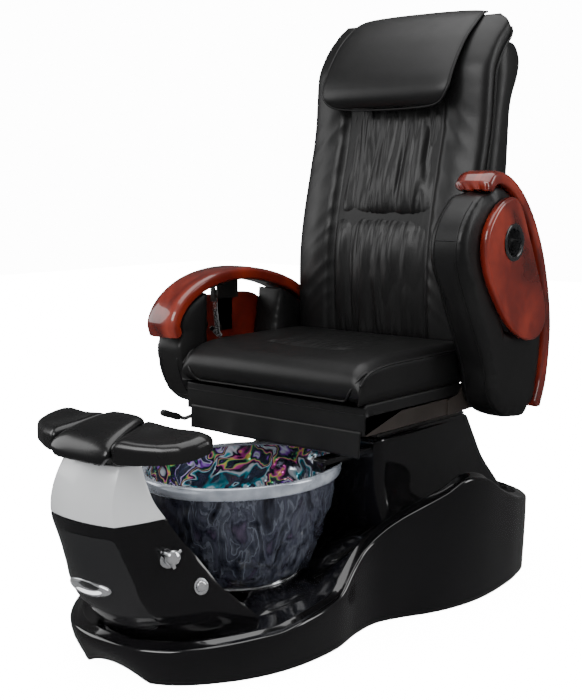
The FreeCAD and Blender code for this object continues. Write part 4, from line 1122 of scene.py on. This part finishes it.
def build_pillow():
    """The head pillow: its welted rim stands off the back, most of all along the bottom."""
    rim = resample(PILLOW_RIM, 100)
    side = normals_2d(rim)
    length = runs(rim)[-1]
    rows, left, right = [], [], []
    for t, (y, z), way in zip(np.linspace(0, 1, len(rim)), rim, side):
        low, high = t * length, (1 - t) * length
        wide = 0.199 - 0.006 * smooth_step(t, 0.7, 1.0) - draw_in(low, 0.062, 0.058)
        wide -= draw_in(high, 0.025, 0.022)
        swell = 0.013 * (1 - draw_in(low, 0.05, 1.0)) * (1 - draw_in(high, 0.04, 1.0))
        rear = float(np.interp(t, *PILLOW_REAR))
        row = []
        for a in circle(84):
            c, s = math.cos(a), math.sin(a)
            if s >= 0:
                reach, shift = wide * power_of(c, 0.8), -swell * s ** 0.8
            else:
                reach, shift = wide * power_of(c, 0.5) * (1 + 0.08 * s), rear * abs(s) ** 0.7
            row.append((reach, y + way[0] * shift, z + way[1] * shift))
        rows.append(row)
        left.append((wide + 0.001, y, z))
        right.append((-wide - 0.001, y, z))
    padded(closed_loft("pillow", rows), "pillow", ["head_pillow"])
    welt = left[::3] + right[::-3]
    piece(tube("pillow_welt", welt, 0.0030, 10, True, 280), "pillow", "upholstery")


# ---------------------------------------------------------------- seat
SEAT_LOW = 0.5455
SEAT_HALF = 0.277
SEAT_CORNER = (0.060, 0.040)
SEAT_PROFILE = [
    (0.000, 0.5455), (-0.010, 0.548), (-0.020, 0.560), (-0.025, 0.578), (-0.024, 0.595), (-0.012, 0.616),
    (0.012, 0.632), (0.050, 0.641), (0.100, 0.645), (0.200, 0.646), (0.300, 0.646), (0.405, 0.645)]
SKIRT = (0.15, 0.4, 0.7, 1.0)


def skirt(edge, belly, shares):
    """Points down the side of the seat pad below its edge."""
    x, y, z = edge
    return [(x + belly * math.sin(math.pi * k), y, z * (1 - k) + SEAT_LOW * k) for k in shares]


def build_seat():
    """The seat pad: a crowned top with a welt that starts low in front and climbs to the sides."""
    path = resample(SEAT_PROFILE, 130)
    cols = np.linspace(-1, 1, 91)
    cols = np.sign(cols) * (1 - (1 - np.abs(cols)) ** 1.25)
    rows, side_line = [], []
    for (y, z), s in zip(path, runs(path)):
        half = SEAT_HALF - draw_in(s, *SEAT_CORNER)
        depth = 0.006 * smooth_step(y, 0.0, 0.06) * (1 - smooth_step(y, 0.33, 0.39))
        edge = 0.018 * smooth_step(z, 0.555, 0.60)
        row = []
        for x in half * cols:
            fall = edge * max(0.0, 1 - (half - abs(x)) / 0.030) ** 2
            row.append((x, y, max(SEAT_LOW, z - fall - depth * math.exp(-(x / 0.13) ** 4))))
        belly = 0.0025 * math.sin(math.pi * min(1.0, s / 0.1))
        side_line.append(row[-1])
        under = [(half * (1 - 2 * k), y, SEAT_LOW) for k in np.linspace(0, 1, 8)[1:-1]]
        rows.append(row + skirt(row[-1], belly, SKIRT) + under + skirt(row[0], -belly, SKIRT[::-1]))
    pad = closed_loft("seat_pad", rows)
    padded(pad, "seat", ["seat_cushion"])
    front_line = [(x, np.interp(abs(x), (0.0, 0.20, 0.235), (-0.0135, -0.0125, -0.006)), 0.5500)
                  for x in np.linspace(-0.205, 0.205, 20)]
    turn = [(0.232, -0.010, 0.556), (0.249, -0.010, 0.574), (0.262, -0.002, 0.598), (0.270, 0.014, 0.6145)]
    turn += side_line[18::6]
    line = [(-x, y, z) for x, y, z in turn[::-1]] + front_line + turn
    welt = tube("seat_welt", on_surface(pad, line, 0.0008), WELT, 10, False, 320)
    piece(welt, "seat", "upholstery")

    across, along = np.linspace(-0.150, 0.150, 91), np.linspace(0.120, 0.392, 84)
    n, m = len(along), len(across)
    grid = np.zeros((n, m, 3))
    for i, y in enumerate(along):
        height = np.interp(y, path[:, 0], path[:, 1])
        tuck = min(i, n - 1 - i) / (n - 1)
        for j, x in enumerate(across):
            side_tuck = min(j, m - 1 - j) / (m - 1)
            rise = 0.006 * (1 - math.exp(-tuck / 0.06)) * (1 - math.exp(-side_tuck / 0.06)) - 0.0065
            grid[i, j] = (x, y, height + rise)
    gathered("seat_panel", grid, across, along, 0.0085, 14.7, "seat")


def build_seat_box():
    corners = [(-0.0065, 0.4735), (-0.0065, 0.538), (0.004, 0.5450), (0.398, 0.5450), (0.402, 0.515),
               (0.374, 0.5135), (0.0, 0.5135), (0.0, 0.4735)]
    outline = rounded_polygon(corners, [0.002, 0.004, 0.004, 0.006, 0.003, 0.001, 0.001, 0.002], 5)
    padded(slab("seat_apron", outline, -0.280, 0.280, 0.004), "seat", ["seat_box"])
    hem = [(x, -0.0078, 0.5225) for x in np.linspace(-0.279, 0.279, 12)]
    piece(tube("apron_seam", hem, 0.0014, 8, False, 60), "seat", "upholstery")


FLAP_WIDTH = 0.534
FLAP_HIGH = 0.060
FLAP_TOP = 0.484


def build_flap():
    rows = []
    for k in np.linspace(0, 1, 12):
        row = []
        for u in np.linspace(0, 1, 90):
            wave = 0.0026 * math.sin(5.1 * math.pi * u + 0.7) + 0.0014 * math.sin(13.0 * math.pi * u)
            sag = 0.0012 * math.sin(3.3 * math.pi * u + 0.4) * k
            row.append((-0.263 + FLAP_WIDTH * u, -0.0085 - 0.0035 * k + wave * k ** 1.4,
                        FLAP_TOP - FLAP_HIGH * k + sag))
        rows.append(row)
    flap = loft("front_flap_cloth", rows, False)
    modify(flap, "SOLIDIFY", thickness=FLAP_THICK, offset=0.0)
    apply_modifiers(flap)
    piece(flap, "seat", "upholstery", ["front_flap"])


# ---------------------------------------------------------------- arms
CAP_TOP = [(-0.042, 0.645), (-0.052, 0.682), (-0.042, 0.714), (-0.010, 0.752), (0.040, 0.784), (0.095, 0.804),
           (0.165, 0.816), (0.240, 0.817), (0.328, 0.804), (0.385, 0.789), (0.440, 0.767), (0.505, 0.727),
           (0.560, 0.682), (0.603, 0.628)]
ARM_UNDER = [(0.576, 0.552), (0.526, 0.484), (0.460, 0.447), (0.380, 0.459), (0.264, 0.463), (0.120, 0.464),
             (0.060, 0.473), (0.020, 0.498), (-0.008, 0.536), (-0.024, 0.585), (-0.029, 0.620)]
SEAM_X = (0.3005, 0.3615)
CUP = (0.126, 0.663)
CUP_HOLE = 0.0386
TRAY_X = (0.378, 0.402)
TRAY_ROUND = 0.0085


def both_arms(obj, base, kind, slot, replaces=(), finish=None):
    """Keeps the lowered arm's piece on the right and turns a copy up on the left."""
    left = raised(duplicate(obj, base + "_left"))
    right = mirrored(duplicate(obj, base + "_right"))
    drop(obj)
    for one, word in ((left, "left"), (right, "right")):
        piece(one, kind + "_" + word, slot, [r + "_" + word for r in replaces], finish)


def build_arms():
    cap = swept("cap", CAP_TOP, 130, half=0.050, thick=0.035, middle_x=0.334, power=5.5,
                front_power=3.6, corner=0.004, edge=0.0035)
    both_arms(cap, "arm_rest", "arm", "wood", ["arm_cap"])

    body = copy_node("arm_body_right", "body")
    mirrored(body)
    soften(body, voxel=0.0055, smoothing=9, pressure=4.0, cap=0.006)
    under = resample(ARM_UNDER[::-1], 130)
    for name, x in zip("ab", SEAM_X):
        line = [(x, y, z) for y, z in under[4:118]]
        seam = tube("arm_seam_" + name, on_surface(body, line, 0.0002), 0.0015, 8, False, 170)
        both_arms(seam, "arm_seam_" + name, "arm", "upholstery")
    across = [(x, 0.030, 0.500) for x in np.linspace(*SEAM_X, 8)]
    seam = tube("arm_cross", on_surface(body, across, 0.0002), 0.0014, 8, False, 24)
    both_arms(seam, "arm_seam_cross", "arm", "upholstery")
    both_arms(body, "arm_pad", "arm", "upholstery", ["arm_body"])


TRAY_EDGE = [(0.034, 0.720), (0.018, 0.672), (0.024, 0.620), (0.046, 0.574), (0.084, 0.545), (0.133, 0.534),
             (0.200, 0.539), (0.267, 0.554), (0.330, 0.580), (0.385, 0.624), (0.405, 0.671), (0.390, 0.716),
             (0.349, 0.736), (0.242, 0.739), (0.139, 0.740), (0.070, 0.738)]


def build_trays():
    edge = resample(TRAY_EDGE, 160, True)
    inward = inward_normals(edge)
    centre = np.array(CUP)
    way = edge - centre
    hole = centre + way / np.linalg.norm(way, axis=1)[:, None] * CUP_HOLE
    radius = TRAY_ROUND
    low, high = TRAY_X
    rim = edge + inward * radius
    face = [hole * (1 - k) + rim * k for k in (0.0, 0.02, 0.25, 0.5, 0.75, 0.97)]
    rows = [at_x(low, pts) for pts in face]
    for a in np.linspace(0, math.pi, 17):
        x = low + radius * (1 - math.cos(a)) if a < math.pi / 2 else high - radius * (1 + math.cos(a))
        rows.append(at_x(x, edge + inward * radius * (1 - math.sin(a))))
    rows += [at_x(high, pts) for pts in face[::-1]]
    verts = moved(rows)
    tray = clean(new_object("tray", verts, grid_faces(len(rows), len(edge), True, True)))
    sharpen(tray, 60)
    both_arms(tray, "tray_board", "tray", "wood", ["tray"])
    profile = [(0.0, -0.0345), (0.0350, -0.0345), (0.0378, -0.0320), (0.0382, -0.0010), (0.0440, -0.0005),
               (0.0458, 0.0008), (0.0455, 0.0022), (0.0430, 0.0030), (0.0375, 0.0030), (0.0348, 0.0020),
               (0.0340, 0.0), (0.0340, -0.0290), (0.0315, -0.0312), (0.0, -0.0312)]
    cup = lathe("cup", profile, (TRAY_X[1], *CUP), (1, 0, 0), 72)
    both_arms(cup, "cup_ring", "tray", "black_plastic", ["cup_holder"], "gloss_charcoal")


# ---------------------------------------------------------------- lever
def build_lever():
    profile = [(0.0, 0.0), (0.0062, 0.0), (0.0080, 0.003), (0.0092, 0.014), (0.0086, 0.034), (0.0092, 0.054),
               (0.0080, 0.064), (0.0045, 0.0685), (0.0, 0.0690)]
    start = Vector((-0.300, -0.014, 0.446))
    way = Vector((0, -0.058, 0.020)).normalized()
    grip = lathe("lever_handle", profile, start, way, 32)
    piece(grip, "lever", "black_plastic", ["lever_grip"])


# ---------------------------------------------------------------- floor, light and camera
# name, place, point aimed at, width, height, watts
LIGHTS = [
    ("key", (0.2, -3.0, 2.9), (0.0, 0.1, 0.7), 2.2, 1.6, 62),
    ("fill", (-3.0, -1.6, 1.9), (0.0, 0.0, 0.7), 2.0, 2.2, 34),
    ("side", (3.0, 2.2, 2.2), (0.0, 0.1, 0.6), 1.2, 2.2, 30),
    ("top", (0.0, 0.2, 3.6), (0.0, 0.1, 0.0), 3.0, 3.0, 60),
]
ROOM_STRENGTH = 3.4
MIRROR_STRENGTH = 0.08
BACKDROP_STRENGTH = 14.0
CAMERA_PLACE = (1.862, -2.143, 1.050)
CAMERA_DOWN = 8.1236
CAMERA_TURN = 40.0735
CAMERA_LENS = 62.007


def white_light(node, strength):
    """Sets a background shader to white at this strength and returns its output."""
    node.inputs["Color"].default_value = (1.0, 1.0, 1.0, 1)
    node.inputs["Strength"].default_value = strength
    return node.outputs["Background"]


def build_stage():
    floor = new_object("floor", [(-9, -9, 0), (9, -9, 0), (9, 9, 0), (-9, 9, 0)], [(0, 1, 2, 3)])
    n = Nodes("floor")
    n.color(n.ramp(n.noise(0.6, 2.0), [(0.3, (0.86, 0.86, 0.86)), (0.7, (0.89, 0.89, 0.89))]))
    n.rough(n.noise(3.0, 2.0), 0.55, 0.65)
    n.values(Emission_Color=(1.0, 1.0, 1.0, 1.0), Emission_Strength=BACKDROP_STRENGTH)
    floor.data.materials.append(n.material)
    for name, place, aim, wide, high, power in LIGHTS:
        light = bpy.data.lights.new(name, "AREA")
        light.shape = "RECTANGLE"
        light.size = wide
        light.size_y = high
        light.energy = power
        obj = bpy.data.objects.new(name, light)
        obj.location = place
        obj.rotation_euler = (Vector(aim) - Vector(place)).to_track_quat("-Z", "Y").to_euler()
        scene.collection.objects.link(obj)
    floor.visible_glossy = False
    floor.visible_diffuse = False
    world = bpy.data.worlds.new("studio")
    world.use_nodes = True
    tree = world.node_tree
    pale = white_light(tree.nodes["Background"], ROOM_STRENGTH)
    dim = white_light(tree.nodes.new("ShaderNodeBackground"), MIRROR_STRENGTH)
    backdrop = white_light(tree.nodes.new("ShaderNodeBackground"), BACKDROP_STRENGTH)
    ray = tree.nodes.new("ShaderNodeLightPath")
    under = pale
    for output, shader in (("Is Glossy Ray", dim), ("Is Camera Ray", backdrop)):
        mix = tree.nodes.new("ShaderNodeMixShader")
        tree.links.new(ray.outputs[output], mix.inputs["Fac"])
        tree.links.new(under, mix.inputs[1])
        tree.links.new(shader, mix.inputs[2])
        under = mix.outputs["Shader"]
    tree.links.new(under, tree.nodes["World Output"].inputs["Surface"])
    scene.world = world
    camera = bpy.data.cameras.new("camera")
    camera.lens = CAMERA_LENS
    camera.sensor_width = 36.0
    obj = bpy.data.objects.new("camera", camera)
    x, y, z = CAMERA_PLACE
    obj.location = (x, y + SHIFT, z)
    obj.rotation_euler = (math.radians(90 - CAMERA_DOWN), 0, math.radians(CAMERA_TURN))
    scene.collection.objects.link(obj)
    scene.camera = obj


build_carrier()
build_plinth()
build_cradle()
build_tower()
build_pull()
build_controls()
build_bowl()
build_column()
build_side_pad("foot_left", "footrest_left", False)
build_side_pad("foot_right", "footrest_right", True)
build_centre_pad()
build_back()
build_cover()
build_pillow()
build_seat()
build_seat_box()
build_flap()
build_arms()
build_trays()
build_lever()
build_stage()
